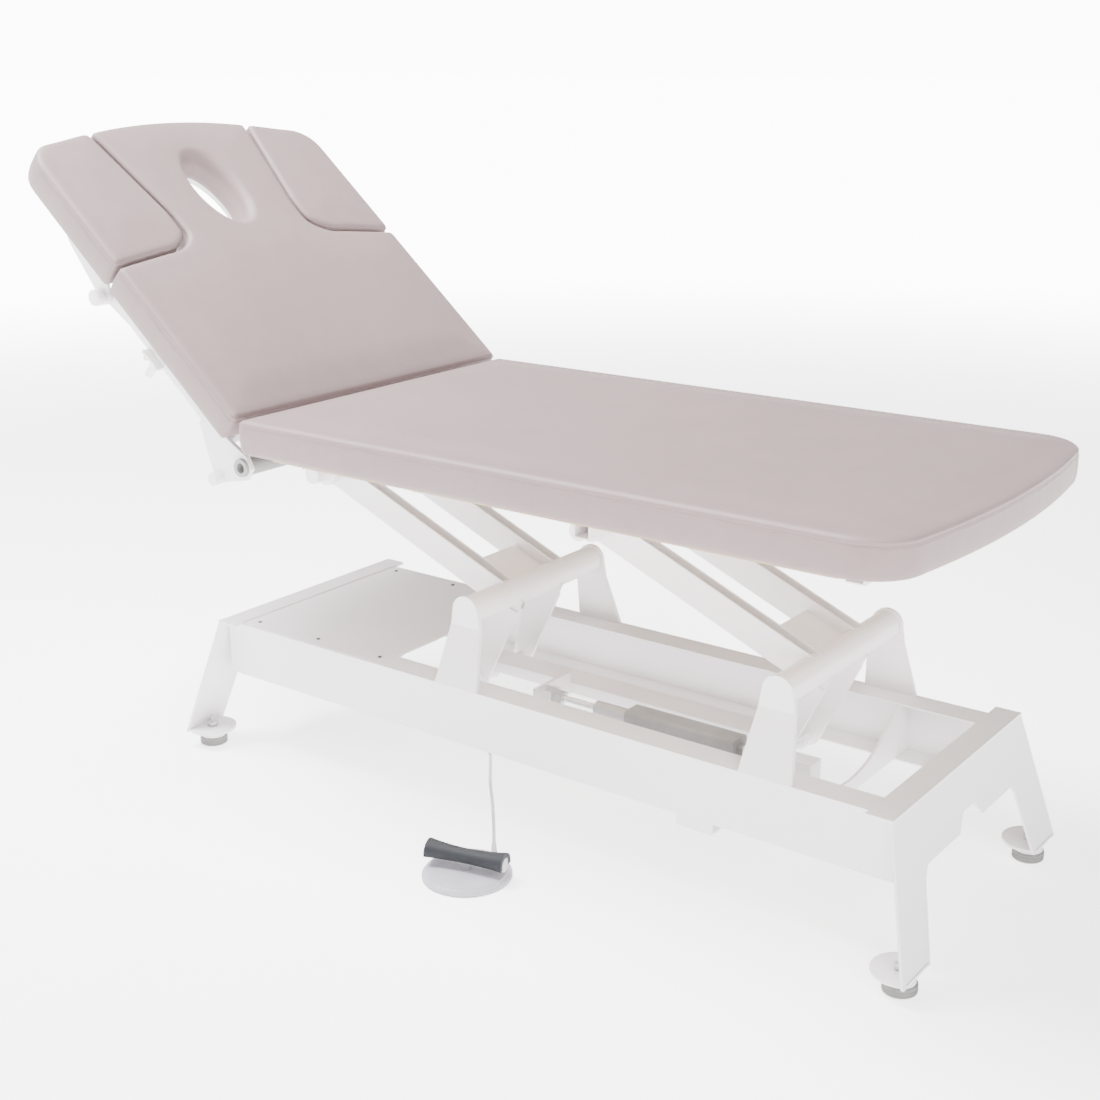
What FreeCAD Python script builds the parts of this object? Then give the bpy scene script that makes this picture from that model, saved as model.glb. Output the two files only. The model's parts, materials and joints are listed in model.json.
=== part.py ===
import FreeCAD, Part
import math
import os

# Facial treatment bed: a parallelogram lift on a folded steel base carries a padded top.
# Millimetres. +X to the foot end, +Y to the far long side, +Z up.
# The origin is on the floor, centred between the four levelling feet.

V = FreeCAD.Vector
UP = V(0, 0, 1)
ALONG = V(1, 0, 0)
ACROSS = V(0, 1, 0)

# Overall sizes
CUSHION_WIDTH = 700.0
TOP_HEIGHT = 690.0
CUSHION_THICK = 60.0
BOARD_THICK = 14.0
LEG_HEAD_X = -476.0
LEG_FOOT_X = 750.0
BACK_LENGTH = 710.0
BACK_ANGLE = 40.5

# Fits and clearances
RUN_FIT = 0.06
OPEN_FIT = 0.5
SIDE_GAP = 0.6

# Base frame
RAIL_BOTTOM = 147.0
RAIL_TOP = 249.0
RAIL_HALF_WIDTH = 215.0
RAIL_HALF_LENGTH = 686.0
RAIL_WALL = 3.0
RAIL_FLANGE = 50.0
END_PLATE = 5.0
END_FLANGE = 38.0
END_HALF_TOP = 236.0
END_HALF_BOTTOM = 288.0
LEG_INNER_BOTTOM = 200.0
END_CROTCH_HALF = 155.0
END_CROTCH_Z = 160.0
END_SLANT = 0.25
END_NOTCH_TOP = 20.0
END_NOTCH_BOTTOM = 42.0
END_NOTCH_HEIGHT = 26.0
FOOT_X = 720.0
FOOT_Y = 243.0
TAB_RADIUS = 44.0
TAB_BOTTOM = 30.0
TAB_THICK = 5.0
COVER_LENGTH = 350.0
COVER_THICK = 2.0
SCREW_RADIUS = 4.0
SCREW_HEAD = 1.6

# Levelling feet
PAD_RADIUS = 26.0
PAD_HEIGHT = 16.0
FOOT_CAP_RADIUS = 21.0
FOOT_CAP_HEIGHT = 8.0
STUD_RADIUS = 5.0
STUD_TOP = 54.0

# Lift
TOWER_X = (-124.0, 474.0)
PIVOT_Z = 376.0
LIFT_ANGLE = 22.6
ARM_LENGTH = 431.0
ARM_DEPTH = 50.0
ARM_WIDTH = 25.0
ARM_WALL = 3.0
ARM_OUTER = 85.0
ARM_TAIL = 24.0
LIFT_TUBE_RADIUS = 24.0
TOWER_SET_IN = 38.5
LIFT_TUBE_HALF = RAIL_HALF_WIDTH - TOWER_SET_IN
LIFT_TUBE_WALL = 4.0
TUBE_PLUG = 20.0
JOURNAL_RADIUS = 10.0
TOWER_THICK = 8.0
TOWER_TOP_RADIUS = 27.0
TOWER_FOOT_HALF = 46.0
WEB_THICK = 5.0
WEB_LENGTH = 95.0
UPPER_TUBE_RADIUS = 16.0
UPPER_TUBE_HALF = 138.0
LEVER_LENGTH = 186.0
LEVER_THICK = 8.0
LEVER_OUTER = 65.0
LEVER_TOP_HALF = 42.0
LEVER_END_RADIUS = 19.0
LINK_PIN_RADIUS = 9.0

# Link bar and actuator
LINK_HALF_WIDTH = 28.0
LINK_TOP = 18.0
LINK_HEIGHT = 20.0
LINK_WALL = 4.0
LINK_PAST = 16.0
LINK_LUG_RADIUS = 15.0
BRACKET_X = -18.0
BRACKET_THICK = 6.0
BRACKET_PAST = 9.0
ACTUATOR_OFFSET = 3.0
ACTUATOR_Y = ACTUATOR_OFFSET - (LEVER_OUTER + RAIL_HALF_WIDTH - RAIL_FLANGE) / 2
ACTUATOR_Z = 232.0
CLEVIS_X = 2.0
TAIL_X = 392.0
ROD_RADIUS = 6.0
OUTER_TUBE_RADIUS = 13.0
CLEVIS_SIZE = 20.0
CLEVIS_REACH = 28.0
ROD_SHOWN = 68.0
ROD_END = 105.0
CROSS_MEMBER_X = 505.0
FORK_REACH = 5.0
ACTUATOR_PIN = 5.0
HOUSING_LENGTH = 205.0
TAIL_NECK = 20.0
TAIL_EYE = 9.0
HOUSING_HEIGHT = 38.0
HOUSING_WIDTH = 44.0

# Top frame
TOP_RAIL_Y = 96.0
TOP_RAIL_WIDTH = 25.0
TOP_RAIL_DEPTH = 40.0
TOP_RAIL_FOOT_X = 650.0
TOP_TUBE_WALL = 2.5
CROSS_X = (-440.0, -185.0, 180.0, 600.0)
CROSS_DEPTH = 28.0
CROSS_WIDTH = 30.0
CROSS_HALF = (240.0, 240.0, 290.0, 240.0)
LUG_THICK = 8.0
LUG_RADIUS = 26.0
BOARD_INSET = 22.0
LEG_BOARD_INSET = 40.0
LEG_CORNER = 85.0
LEG_BOW = 20.0

# Back section hinge and frame
HINGE_X = -500.5
HINGE_DROP = 92.0
HINGE_Z = TOP_HEIGHT - HINGE_DROP
AXLE_RADIUS = 16.0
AXLE_HALF = 326.0
AXLE_BORE = 9.0
CHEEK_THICK = 8.0
CHEEK_Y = 312.0
BACK_START = 4.0
BACK_SPLIT = 362.0
BACK_SHOULDER = 382.0
SHOULDER_IN = 70.0
TURN_UP = 12.0
TURN_IN = 26.0
TURN_SHARE = 0.8
PAD_TOP_DROP = 20.0
NECK_HALF_TOP = 190.0
NECK_HALF_WAIST = 150.0
NECK_WAIST = 470.0
NECK_TURN = 420.0
PAD_GAP = 7.5
PAD_SHOULDER_GAP = 6.0
HEAD_BOW = 18.0
PAD_CORNER = 60.0
FACE_CENTRE = 530.0
FACE_HALF_LENGTH = 86.0
FACE_HALF_WIDTH = 46.0
BACK_TUBE = 25.0
BACK_TUBE_DEPTH = 30.0
BACK_RAIL_Y = 287.0
BACK_RAIL_START = 24.0
BACK_RAIL_END = 352.0
NECK_RAIL_Y = 112.0
NECK_RAIL_END = 670.0
CRANK_LENGTH = 72.0
CRANK_Y = 165.0
CRANK_GAP = 2.0

# Gas spring
SPRING_RADIUS = 11.0
SPRING_ROD_RADIUS = 5.0
SPRING_LENGTH = 232.0
SPRING_TAIL_X = -196.0
EYE_RADIUS = 13.0
EYE_THICK = 8.0
EYE_CLEARANCE = 5.5

# Side pads
PAD_PIVOT_S = 384.0
PAD_PIVOT_OFF = -100.0
PAD_ARM_Y = 318.0
PAD_EYE_RADIUS = 15.0
PAD_LUG_RADIUS = 14.0
PAD_ARM_THICK = 6.0
PAD_PIN_RADIUS = 6.0
KNOB_RADIUS = 15.0
KNOB_LENGTH = 24.0
KNOB_ROUNDING = 4.0
KNOB_DEPTH = 2.5
LUG_PLATE = 6.0

# Small fittings of the back section
HANDLE_S = 218.0
HANDLE_BASE = (-80.0, -100.0)
HANDLE_PLATE = 5.0
GRIP_RADIUS = 7.5
GRIP_LENGTH = 30.0
STUB_OFFSET = 22.0
STUB_RADIUS = 4.5
BOLT_BACK = 61.0
BOLT_DROP = 27.0
BOLT_RADIUS = 11.0
BOLT_LENGTH = 17.0

# Foot switch and its cord
SWITCH_X = 12.0
SWITCH_Y = -354.0
SWITCH_ANGLE = 14.0
SWITCH_RADIUS = 74.0
SWITCH_HEIGHT = 12.0
SWITCH_BEVEL = 7.0
PEDAL_HALF = 69.0
PEDAL_END_RADIUS = 20.0
PEDAL_WAIST_RADIUS = 14.5
PEDAL_Z = 32.0
PEDAL_SKIRT = 4.0
CORE_RADIUS = 12.0
POST_HALF = 6.0
POST_DEPTH = 5.0
PEDAL_PIN = 3.0
CORD_RADIUS = 3.0
GLAND_RADIUS = 7.0
GLAND_HEIGHT = 6.0
BOOT_RADIUS = 5.5
BOOT_LENGTH = 19.0
CORD_POINTS = [
    (-58.0, -204.0, 141.0),
    (-58.0, -204.0, 117.0),
    (-48.0, -219.0, 93.0),
    (-28.0, -237.0, 70.0),
    (-10.0, -257.0, 46.0),
    (3.0, -273.0, 22.0),
]
CORD_SHARE = 0.45


def box(x0, x1, y0, y1, z0, z1):
    """A box between two corners."""
    return Part.makeBox(x1 - x0, y1 - y0, z1 - z0, V(x0, y0, z0))


def rod_y(x, z, radius, y0, y1):
    """A round bar along Y."""
    return Part.makeCylinder(radius, y1 - y0, V(x, y0, z), ACROSS)


def rod_x(y, z, radius, x0, x1):
    """A round bar along X."""
    return Part.makeCylinder(radius, x1 - x0, V(x0, y, z), ALONG)


def rod_z(x, y, radius, z0, z1):
    """A round bar along Z."""
    return Part.makeCylinder(radius, z1 - z0, V(x, y, z0), UP)


def plate_y(points, y0, thick):
    """A flat plate from an XZ outline."""
    corners = [V(x, y0, z) for x, z in points]
    face = Part.Face(Part.makePolygon(corners + corners[:1]))
    return face.extrude(V(0, thick, 0))


def square_tube(x0, x1, y0, y1, z0, z1, wall, axis):
    """A rectangular tube, open at both ends of its axis."""
    outer = box(x0, x1, y0, y1, z0, z1)
    if axis == "x":
        return outer.cut(box(x0, x1, y0 + wall, y1 - wall, z0 + wall, z1 - wall))
    return outer.cut(box(x0 + wall, x1 - wall, y0, y1, z0 + wall, z1 - wall))


def fuse(shapes):
    """One solid from touching shapes."""
    whole = shapes[0]
    for shape in shapes[1:]:
        whole = whole.fuse(shape)
    return whole.removeSplitter()


def group(shapes):
    """Separate solids that share a node."""
    return Part.makeCompound(shapes)


def mirror_y(shape):
    """The same piece on the other long side."""
    return shape.mirror(V(0, 0, 0), ACROSS)


def turned(shape, angle, x, z):
    """A shape built at the origin, turned about +Y and carried to (x, z)."""
    copy = shape.copy()
    copy.rotate(V(0, 0, 0), ACROSS, angle)
    copy.translate(V(x, 0, z))
    return copy


def on_back(shape):
    """A shape built on the flat back section, where x is -s and z is measured from its top face."""
    return turned(shape, BACK_ANGLE, LEG_HEAD_X, TOP_HEIGHT)


def back_point(s, off):
    """Where a point of the back section lies in the bed's frame."""
    a = math.radians(BACK_ANGLE)
    x = LEG_HEAD_X - s * math.cos(a) + off * math.sin(a)
    z = TOP_HEIGHT + s * math.sin(a) + off * math.cos(a)
    return x, z


def save(name, shape):
    """Writes one node."""
    shape.exportStep("parts/" + name + ".step")


# Base frame

def side_rail():
    """Near long rail: a folded C section, open to the middle."""
    outer = box(-RAIL_HALF_LENGTH, RAIL_HALF_LENGTH, -RAIL_HALF_WIDTH, -RAIL_HALF_WIDTH + RAIL_FLANGE,
                RAIL_BOTTOM, RAIL_TOP)
    hollow = box(-RAIL_HALF_LENGTH, RAIL_HALF_LENGTH, -RAIL_HALF_WIDTH + RAIL_WALL,
                 -RAIL_HALF_WIDTH + RAIL_FLANGE, RAIL_BOTTOM + RAIL_WALL, RAIL_TOP - RAIL_WALL)
    return outer.cut(hollow)


def end_outline():
    """Half outline of an end plate in Y and Z, from the top middle round the leg to the notch."""
    slope = (END_HALF_BOTTOM - END_HALF_TOP) / (RAIL_TOP - TAB_BOTTOM)
    shoulder = 12.0
    return [
        (0.0, RAIL_TOP),
        (END_HALF_TOP, RAIL_TOP),
        (END_HALF_TOP + slope * shoulder, RAIL_TOP - shoulder),
        (END_HALF_BOTTOM, TAB_BOTTOM),
        (LEG_INNER_BOTTOM, TAB_BOTTOM),
        (END_CROTCH_HALF + 14.0, END_CROTCH_Z - 16.0),
        (END_CROTCH_HALF, END_CROTCH_Z),
        (END_NOTCH_BOTTOM, END_CROTCH_Z),
        (END_NOTCH_TOP, END_CROTCH_Z + END_NOTCH_HEIGHT),
        (0.0, END_CROTCH_Z + END_NOTCH_HEIGHT),
    ]


def end_frame(side):
    """Folded end plate: slanted legs, a flange over the rails and a round tab over each foot."""
    half = end_outline()
    outline = half + [(-y, z) for y, z in reversed(half[1:-1])]
    corners = [V(side * (RAIL_HALF_LENGTH + END_SLANT * (RAIL_TOP - z)), y, z) for y, z in outline]
    face = Part.Face(Part.makePolygon(corners + corners[:1]))
    plate = face.extrude(V(side * END_PLATE, 0, 0))
    flange_in = side * (RAIL_HALF_LENGTH - END_FLANGE)
    flange_out = side * (RAIL_HALF_LENGTH + END_PLATE)
    flange = box(min(flange_in, flange_out), max(flange_in, flange_out), -END_HALF_TOP, END_HALF_TOP,
                 RAIL_TOP, RAIL_TOP + END_PLATE)
    pieces = [plate, flange]
    leg_x = side * (RAIL_HALF_LENGTH + END_SLANT * (RAIL_TOP - TAB_BOTTOM) + END_PLATE)
    for y in (-FOOT_Y, FOOT_Y):
        disc = rod_z(side * FOOT_X, y, TAB_RADIUS, TAB_BOTTOM, TAB_BOTTOM + TAB_THICK)
        past = box(min(leg_x, leg_x + side * TAB_RADIUS), max(leg_x, leg_x + side * TAB_RADIUS),
                   y - TAB_RADIUS, y + TAB_RADIUS, TAB_BOTTOM, TAB_BOTTOM + TAB_THICK)
        bore = rod_z(side * FOOT_X, y, STUD_RADIUS + RUN_FIT, TAB_BOTTOM, TAB_BOTTOM + TAB_THICK)
        pieces.append(disc.cut(past).cut(bore))
    return fuse(pieces)


def cover_plate():
    """Sheet over the head end of the base, between the end flange and the first tower."""
    x0 = -RAIL_HALF_LENGTH + END_FLANGE
    return box(x0, x0 + COVER_LENGTH, -RAIL_HALF_WIDTH + RAIL_WALL, RAIL_HALF_WIDTH - RAIL_WALL,
               RAIL_TOP, RAIL_TOP + COVER_THICK)


def cover_screws():
    """Button heads that hold the cover down onto the rails and the control box."""
    x0 = -RAIL_HALF_LENGTH + END_FLANGE
    reach = RAIL_HALF_WIDTH - RAIL_FLANGE / 2
    spots = [(x0 + 22.0, -reach), (x0 + 22.0, reach), (x0 + COVER_LENGTH / 2, -reach),
             (x0 + COVER_LENGTH / 2, reach), (x0 + COVER_LENGTH - 22.0, -reach),
             (x0 + COVER_LENGTH - 22.0, reach)]
    top = RAIL_TOP + COVER_THICK
    return group([rod_z(x, y, SCREW_RADIUS, top, top + SCREW_HEAD) for x, y in spots])


def control_box():
    """Housing of the lift's power supply, hung under the cover."""
    body = box(-600.0, -420.0, -90.0, 90.0, RAIL_TOP - 70.0, RAIL_TOP)
    edges = [e for e in body.Edges if abs(e.tangentAt(e.FirstParameter).z) > 0.9]
    return body.makeFillet(10.0, edges)


def tower_plate(x, side):
    """Upright for one end of a lift tube: square to the tube above, sloping out to the rail's edge below."""
    y0 = LIFT_TUBE_HALF + SIDE_GAP
    y1 = y0 + TOWER_THICK
    low = PIVOT_Z - TOWER_TOP_RADIUS
    crest = PIVOT_Z + TOWER_TOP_RADIUS
    section = [V(x, y0, crest), V(x, y1, crest), V(x, y1, low), V(x, RAIL_HALF_WIDTH, RAIL_TOP),
               V(x, RAIL_HALF_WIDTH - TOWER_THICK, RAIL_TOP), V(x, y0, low)]
    slab = Part.Face(Part.makePolygon(section + section[:1])).extrude(V(2 * TOWER_FOOT_HALF, 0, 0))
    slab.translate(V(-TOWER_FOOT_HALF, 0, 0))
    depth = RAIL_HALF_WIDTH - y0
    outline = plate_y([(x + TOWER_TOP_RADIUS, PIVOT_Z), (x + TOWER_FOOT_HALF, RAIL_TOP),
                       (x - TOWER_FOOT_HALF, RAIL_TOP), (x - TOWER_TOP_RADIUS, PIVOT_Z)], y0, depth)
    cap = rod_y(x, PIVOT_Z, TOWER_TOP_RADIUS, y0, RAIL_HALF_WIDTH)
    plate = slab.common(fuse([outline, cap]))
    return plate if side > 0 else mirror_y(plate)


def journal_pins():
    """Pins fixed in the tower plates, on which the lift tubes turn."""
    pins = []
    for x in TOWER_X:
        pin = rod_y(x, PIVOT_Z, JOURNAL_RADIUS, LIFT_TUBE_HALF - TUBE_PLUG + SIDE_GAP,
                    LIFT_TUBE_HALF + SIDE_GAP)
        pins.append(pin)
        pins.append(mirror_y(pin))
    return group(pins)


def cross_member():
    """Plate across the rails under the foot-end tower, with the fork that holds the actuator's tail."""
    x = CROSS_MEMBER_X
    reach = RAIL_HALF_WIDTH - RAIL_WALL
    points = [V(x, -reach, RAIL_BOTTOM + RAIL_WALL), V(x, reach, RAIL_BOTTOM + RAIL_WALL),
              V(x, reach, RAIL_TOP - RAIL_WALL), V(x, reach - RAIL_FLANGE, RAIL_TOP - RAIL_WALL)]
    dip = V(x, 0, RAIL_BOTTOM + 26.0)
    arc = Part.Arc(points[3], dip, V(x, -reach + RAIL_FLANGE, RAIL_TOP - RAIL_WALL)).toShape()
    sides = [Part.makeLine(points[0], points[1]), Part.makeLine(points[1], points[2]),
             Part.makeLine(points[2], points[3]), arc,
             Part.makeLine(V(x, -reach + RAIL_FLANGE, RAIL_TOP - RAIL_WALL),
                           V(x, -reach, RAIL_TOP - RAIL_WALL)),
             Part.makeLine(V(x, -reach, RAIL_TOP - RAIL_WALL), points[0])]
    plate = Part.Face(Part.Wire(sides)).extrude(V(END_PLATE, 0, 0))
    cheek_in = CLEVIS_SIZE / 2 + 1.0
    cheek = box(TAIL_X - FORK_REACH, x, ACTUATOR_Y - cheek_in - BRACKET_THICK, ACTUATOR_Y - cheek_in,
                ACTUATOR_Z - 20.0, ACTUATOR_Z + 14.0)
    other = cheek.copy()
    other.translate(V(0, 2 * cheek_in + BRACKET_THICK, 0))
    wide = cheek_in + BRACKET_THICK
    back = box(x - END_PLATE, x, ACTUATOR_Y - wide, ACTUATOR_Y + wide, RAIL_BOTTOM + 10.0,
               ACTUATOR_Z + 14.0)
    return fuse([plate, back, cheek, other])


def rail_tab():
    """Small folded tab under the near rail, which clips the lead to the frame."""
    tab = box(318.0, 384.0, -RAIL_HALF_WIDTH + 6.0, -RAIL_HALF_WIDTH + 34.0, RAIL_BOTTOM - 22.0,
              RAIL_BOTTOM)
    return tab.cut(box(318.0, 384.0, -RAIL_HALF_WIDTH + 9.0, -RAIL_HALF_WIDTH + 34.0,
                       RAIL_BOTTOM - 19.0, RAIL_BOTTOM - 3.0))


def levelling_foot(x, y):
    """Rubber pad, moulded cap, threaded stud and lock nut of one foot."""
    pad = rod_z(x, y, PAD_RADIUS, 0.0, PAD_HEIGHT)
    pad = pad.makeFillet(2.5, pad.Edges)
    cap = Part.makeCone(PAD_RADIUS - 3.0, FOOT_CAP_RADIUS, FOOT_CAP_HEIGHT, V(x, y, PAD_HEIGHT), UP)
    gap = 0.4
    stud = rod_z(x, y, STUD_RADIUS, PAD_HEIGHT + FOOT_CAP_HEIGHT, STUD_TOP)
    nut = rod_z(x, y, 2 * STUD_RADIUS, TAB_BOTTOM + TAB_THICK + gap, TAB_BOTTOM + TAB_THICK + 8.0)
    return group([pad, fuse([cap, stud, nut])])


# Lift frames, built flat with the tube at the origin, the arms along -X and the levers down

def lift_tube():
    """Cross tube of a lift frame, plugged at both ends with a bore for the journal pin."""
    tube = rod_y(0, 0, LIFT_TUBE_RADIUS, -LIFT_TUBE_HALF, LIFT_TUBE_HALF)
    hollow = rod_y(0, 0, LIFT_TUBE_RADIUS - LIFT_TUBE_WALL, -LIFT_TUBE_HALF + TUBE_PLUG + 6.0,
                   LIFT_TUBE_HALF - TUBE_PLUG - 6.0)
    bore = rod_y(0, 0, JOURNAL_RADIUS + RUN_FIT, LIFT_TUBE_HALF - TUBE_PLUG, LIFT_TUBE_HALF)
    return tube.cut(hollow).cut(bore).cut(mirror_y(bore))


def lift_arm(side):
    """U channel, open on top, welded to the tube and holed for the upper pivot tube."""
    half = ARM_DEPTH / 2
    y0 = ARM_OUTER - ARM_WIDTH
    outer = box(-ARM_LENGTH - ARM_TAIL, 0.0, y0, ARM_OUTER, -half, half)
    hollow = box(-ARM_LENGTH - ARM_TAIL, 0.0, y0 + ARM_WALL, ARM_OUTER - ARM_WALL, -half + ARM_WALL, half)
    arm = outer.cut(hollow)
    arm = arm.cut(rod_y(0, 0, LIFT_TUBE_RADIUS, y0, ARM_OUTER))
    arm = arm.cut(rod_y(-ARM_LENGTH, 0, UPPER_TUBE_RADIUS, y0, ARM_OUTER))
    arm = max(arm.Solids, key=lambda solid: solid.Volume)
    return arm if side > 0 else mirror_y(arm)


def lift_web():
    """Plate that joins both arms beside the tube."""
    reach = ARM_OUTER - ARM_WIDTH
    web = box(-WEB_LENGTH, 0.0, -reach, reach, 0.0, WEB_THICK)
    return web.cut(rod_y(0, 0, LIFT_TUBE_RADIUS, -reach, reach))


def lever_plate():
    """One lever of a lift frame: wide at the tube, round at the link pin."""
    end = LEVER_END_RADIUS
    y0 = LEVER_OUTER - LEVER_THICK
    body = plate_y([(-LEVER_TOP_HALF, 0.0), (LEVER_TOP_HALF - 14.0, 0.0), (end, -LEVER_LENGTH),
                    (-end, -LEVER_LENGTH)], y0, LEVER_THICK)
    foot = rod_y(0, -LEVER_LENGTH, end, y0, LEVER_OUTER)
    plate = fuse([body, foot]).cut(rod_y(0, 0, LIFT_TUBE_RADIUS, y0, LEVER_OUTER))
    arm_space = box(-LEVER_TOP_HALF, LEVER_TOP_HALF, ARM_OUTER - ARM_WIDTH, ARM_OUTER,
                    -ARM_DEPTH / 2, ARM_DEPTH / 2)
    plate = plate.cut(arm_space)
    return max(plate.Solids, key=lambda solid: solid.Volume)


def lift_levers():
    """Both levers of a lift frame with the pin across their lower ends."""
    plate = lever_plate()
    pin = rod_y(0, -LEVER_LENGTH, LINK_PIN_RADIUS, -LEVER_OUTER - 4.0, LEVER_OUTER + 4.0)
    plates = [plate.cut(pin), mirror_y(plate).cut(pin)]
    return group(plates + [pin])


def upper_tube():
    """Pivot tube across the upper ends of a pair of arms."""
    tube = rod_y(-ARM_LENGTH, 0, UPPER_TUBE_RADIUS, -UPPER_TUBE_HALF, UPPER_TUBE_HALF)
    return tube.cut(rod_y(-ARM_LENGTH, 0, UPPER_TUBE_RADIUS - 4.0, -UPPER_TUBE_HALF + 6.0,
                          UPPER_TUBE_HALF - 6.0))


def lift_point(x, z, tower):
    """Where a point of a lift frame lies in the bed's frame."""
    a = math.radians(LIFT_ANGLE)
    return tower + x * math.cos(a) + z * math.sin(a), PIVOT_Z - x * math.sin(a) + z * math.cos(a)


# Link bar and actuator

def link_bar():
    """Channel between the lower ends of both pairs of levers, with the bracket of the actuator."""
    x0, z0 = lift_point(0.0, -LEVER_LENGTH, TOWER_X[0])
    x1, z1 = lift_point(0.0, -LEVER_LENGTH, TOWER_X[1])
    top = z0 + LINK_TOP
    half = LINK_HALF_WIDTH
    start = x0 - LINK_PAST
    end = x1 + LINK_PAST
    outer = box(start, end, -half, half, top - LINK_HEIGHT, top)
    hollow = box(start, end, -half + LINK_WALL, half - LINK_WALL, top - LINK_HEIGHT, top - LINK_WALL)
    lugs = [rod_y(x, z0, LINK_LUG_RADIUS, half - LINK_WALL, half) for x in (x0, x1)]
    lugs += [mirror_y(lug) for lug in lugs]
    bar = fuse([outer.cut(hollow)] + lugs)
    bar = bar.cut(rod_y(x0, z0, LINK_PIN_RADIUS + RUN_FIT, -half, half))
    bar = bar.cut(rod_y(x1, z1, LINK_PIN_RADIUS + OPEN_FIT, -half, half))
    cheek_in = CLEVIS_SIZE / 2 + SIDE_GAP
    y0 = ACTUATOR_Y - cheek_in - BRACKET_THICK
    high = ACTUATOR_Z + CLEVIS_SIZE / 2
    back = box(BRACKET_X - BRACKET_THICK, BRACKET_X, y0, -half, top - LINK_HEIGHT, high)
    cheek = box(BRACKET_X, CLEVIS_X + BRACKET_PAST, y0, y0 + BRACKET_THICK, top - LINK_HEIGHT, high)
    other = cheek.copy()
    other.translate(V(0, 2 * cheek_in + BRACKET_THICK, 0))
    pin = rod_y(CLEVIS_X, ACTUATOR_Z, ACTUATOR_PIN, y0, y0 + 2 * (cheek_in + BRACKET_THICK))
    return fuse([bar, back, cheek, other, pin])


def actuator_clevis():
    """Eye block on the rod's end, bored for the bracket pin."""
    half = CLEVIS_SIZE / 2
    block = box(CLEVIS_X - half + 2.0, CLEVIS_X + CLEVIS_REACH, ACTUATOR_Y - half, ACTUATOR_Y + half,
                ACTUATOR_Z - half + 1.0, ACTUATOR_Z + half - 1.0)
    bore = rod_y(CLEVIS_X, ACTUATOR_Z, ACTUATOR_PIN + RUN_FIT, ACTUATOR_Y - half, ACTUATOR_Y + half)
    return block.cut(bore)


def actuator_rod():
    """Chrome rod that slides out of the outer tube."""
    return rod_x(ACTUATOR_Y, ACTUATOR_Z, ROD_RADIUS, CLEVIS_X + CLEVIS_REACH, TAIL_X - ROD_END)


def actuator_tube():
    """Outer tube round the rod."""
    x0 = CLEVIS_X + CLEVIS_REACH + ROD_SHOWN
    x1 = TAIL_X - HOUSING_LENGTH - TAIL_NECK
    tube = rod_x(ACTUATOR_Y, ACTUATOR_Z, OUTER_TUBE_RADIUS, x0, x1)
    return tube.cut(rod_x(ACTUATOR_Y, ACTUATOR_Z, ROD_RADIUS + RUN_FIT, x0, x1))


def actuator_housing():
    """Motor and gear housing with the tail eye."""
    x0 = TAIL_X - HOUSING_LENGTH - TAIL_NECK
    x1 = TAIL_X - TAIL_NECK
    body = box(x0, x1, ACTUATOR_Y - HOUSING_WIDTH / 2, ACTUATOR_Y + HOUSING_WIDTH / 2,
               ACTUATOR_Z - HOUSING_HEIGHT / 2, ACTUATOR_Z + HOUSING_HEIGHT / 2)
    body = body.makeFillet(8.0, [e for e in body.Edges if abs(e.tangentAt(e.FirstParameter).x) > 0.9])
    body = body.cut(rod_x(ACTUATOR_Y, ACTUATOR_Z, ROD_RADIUS + RUN_FIT, x0, x1 - 6.0))
    tail = rod_y(TAIL_X, ACTUATOR_Z, TAIL_EYE, ACTUATOR_Y - CLEVIS_SIZE / 2, ACTUATOR_Y + CLEVIS_SIZE / 2)
    neck = box(x1, TAIL_X, ACTUATOR_Y - CLEVIS_SIZE / 2, ACTUATOR_Y + CLEVIS_SIZE / 2, ACTUATOR_Z - 6.0,
               ACTUATOR_Z + 6.0)
    return fuse([body, neck, tail])


# Top frame and leg section

def top_levels():
    """Underside of the boards, and the underside of the side rails."""
    board = TOP_HEIGHT - CUSHION_THICK - BOARD_THICK
    return board, board - TOP_RAIL_DEPTH


def top_frame():
    """Two long tubes and four cross tubes under the leg section."""
    top, bottom = top_levels()
    x0 = HINGE_X - AXLE_RADIUS - 6.0
    rail = square_tube(x0, TOP_RAIL_FOOT_X, TOP_RAIL_Y, TOP_RAIL_Y + TOP_RAIL_WIDTH, bottom, top,
                       TOP_TUBE_WALL, "x")
    pieces = [rail, mirror_y(rail)]
    for x, half in zip(CROSS_X, CROSS_HALF):
        inner = box(x, x + CROSS_WIDTH, -TOP_RAIL_Y, TOP_RAIL_Y, top - CROSS_DEPTH, top)
        wing = square_tube(x, x + CROSS_WIDTH, TOP_RAIL_Y + TOP_RAIL_WIDTH, half,
                           top - CROSS_DEPTH, top, TOP_TUBE_WALL, "y")
        inner = inner.cut(box(x + TOP_TUBE_WALL, x + CROSS_WIDTH - TOP_TUBE_WALL, -TOP_RAIL_Y, TOP_RAIL_Y,
                              top - CROSS_DEPTH + TOP_TUBE_WALL, top - TOP_TUBE_WALL))
        pieces += [inner, wing, mirror_y(wing)]
    frame = fuse(pieces)
    return frame.cut(rod_y(HINGE_X, HINGE_Z, AXLE_RADIUS, -AXLE_HALF, AXLE_HALF))


def pivot_lug(tower, fit):
    """Hanger under a side rail, bored for an upper pivot tube."""
    x, z = lift_point(-ARM_LENGTH, 0.0, tower)
    top, bottom = top_levels()
    left = x - LUG_RADIUS
    right = x + LUG_RADIUS
    plate = plate_y([(left, z), (right, z), (right, bottom), (left, bottom)], TOP_RAIL_Y, LUG_THICK)
    lug = fuse([plate, rod_y(x, z, LUG_RADIUS, TOP_RAIL_Y, TOP_RAIL_Y + LUG_THICK)])
    return lug.cut(rod_y(x, z, UPPER_TUBE_RADIUS + fit, TOP_RAIL_Y, TOP_RAIL_Y + LUG_THICK))


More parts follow.
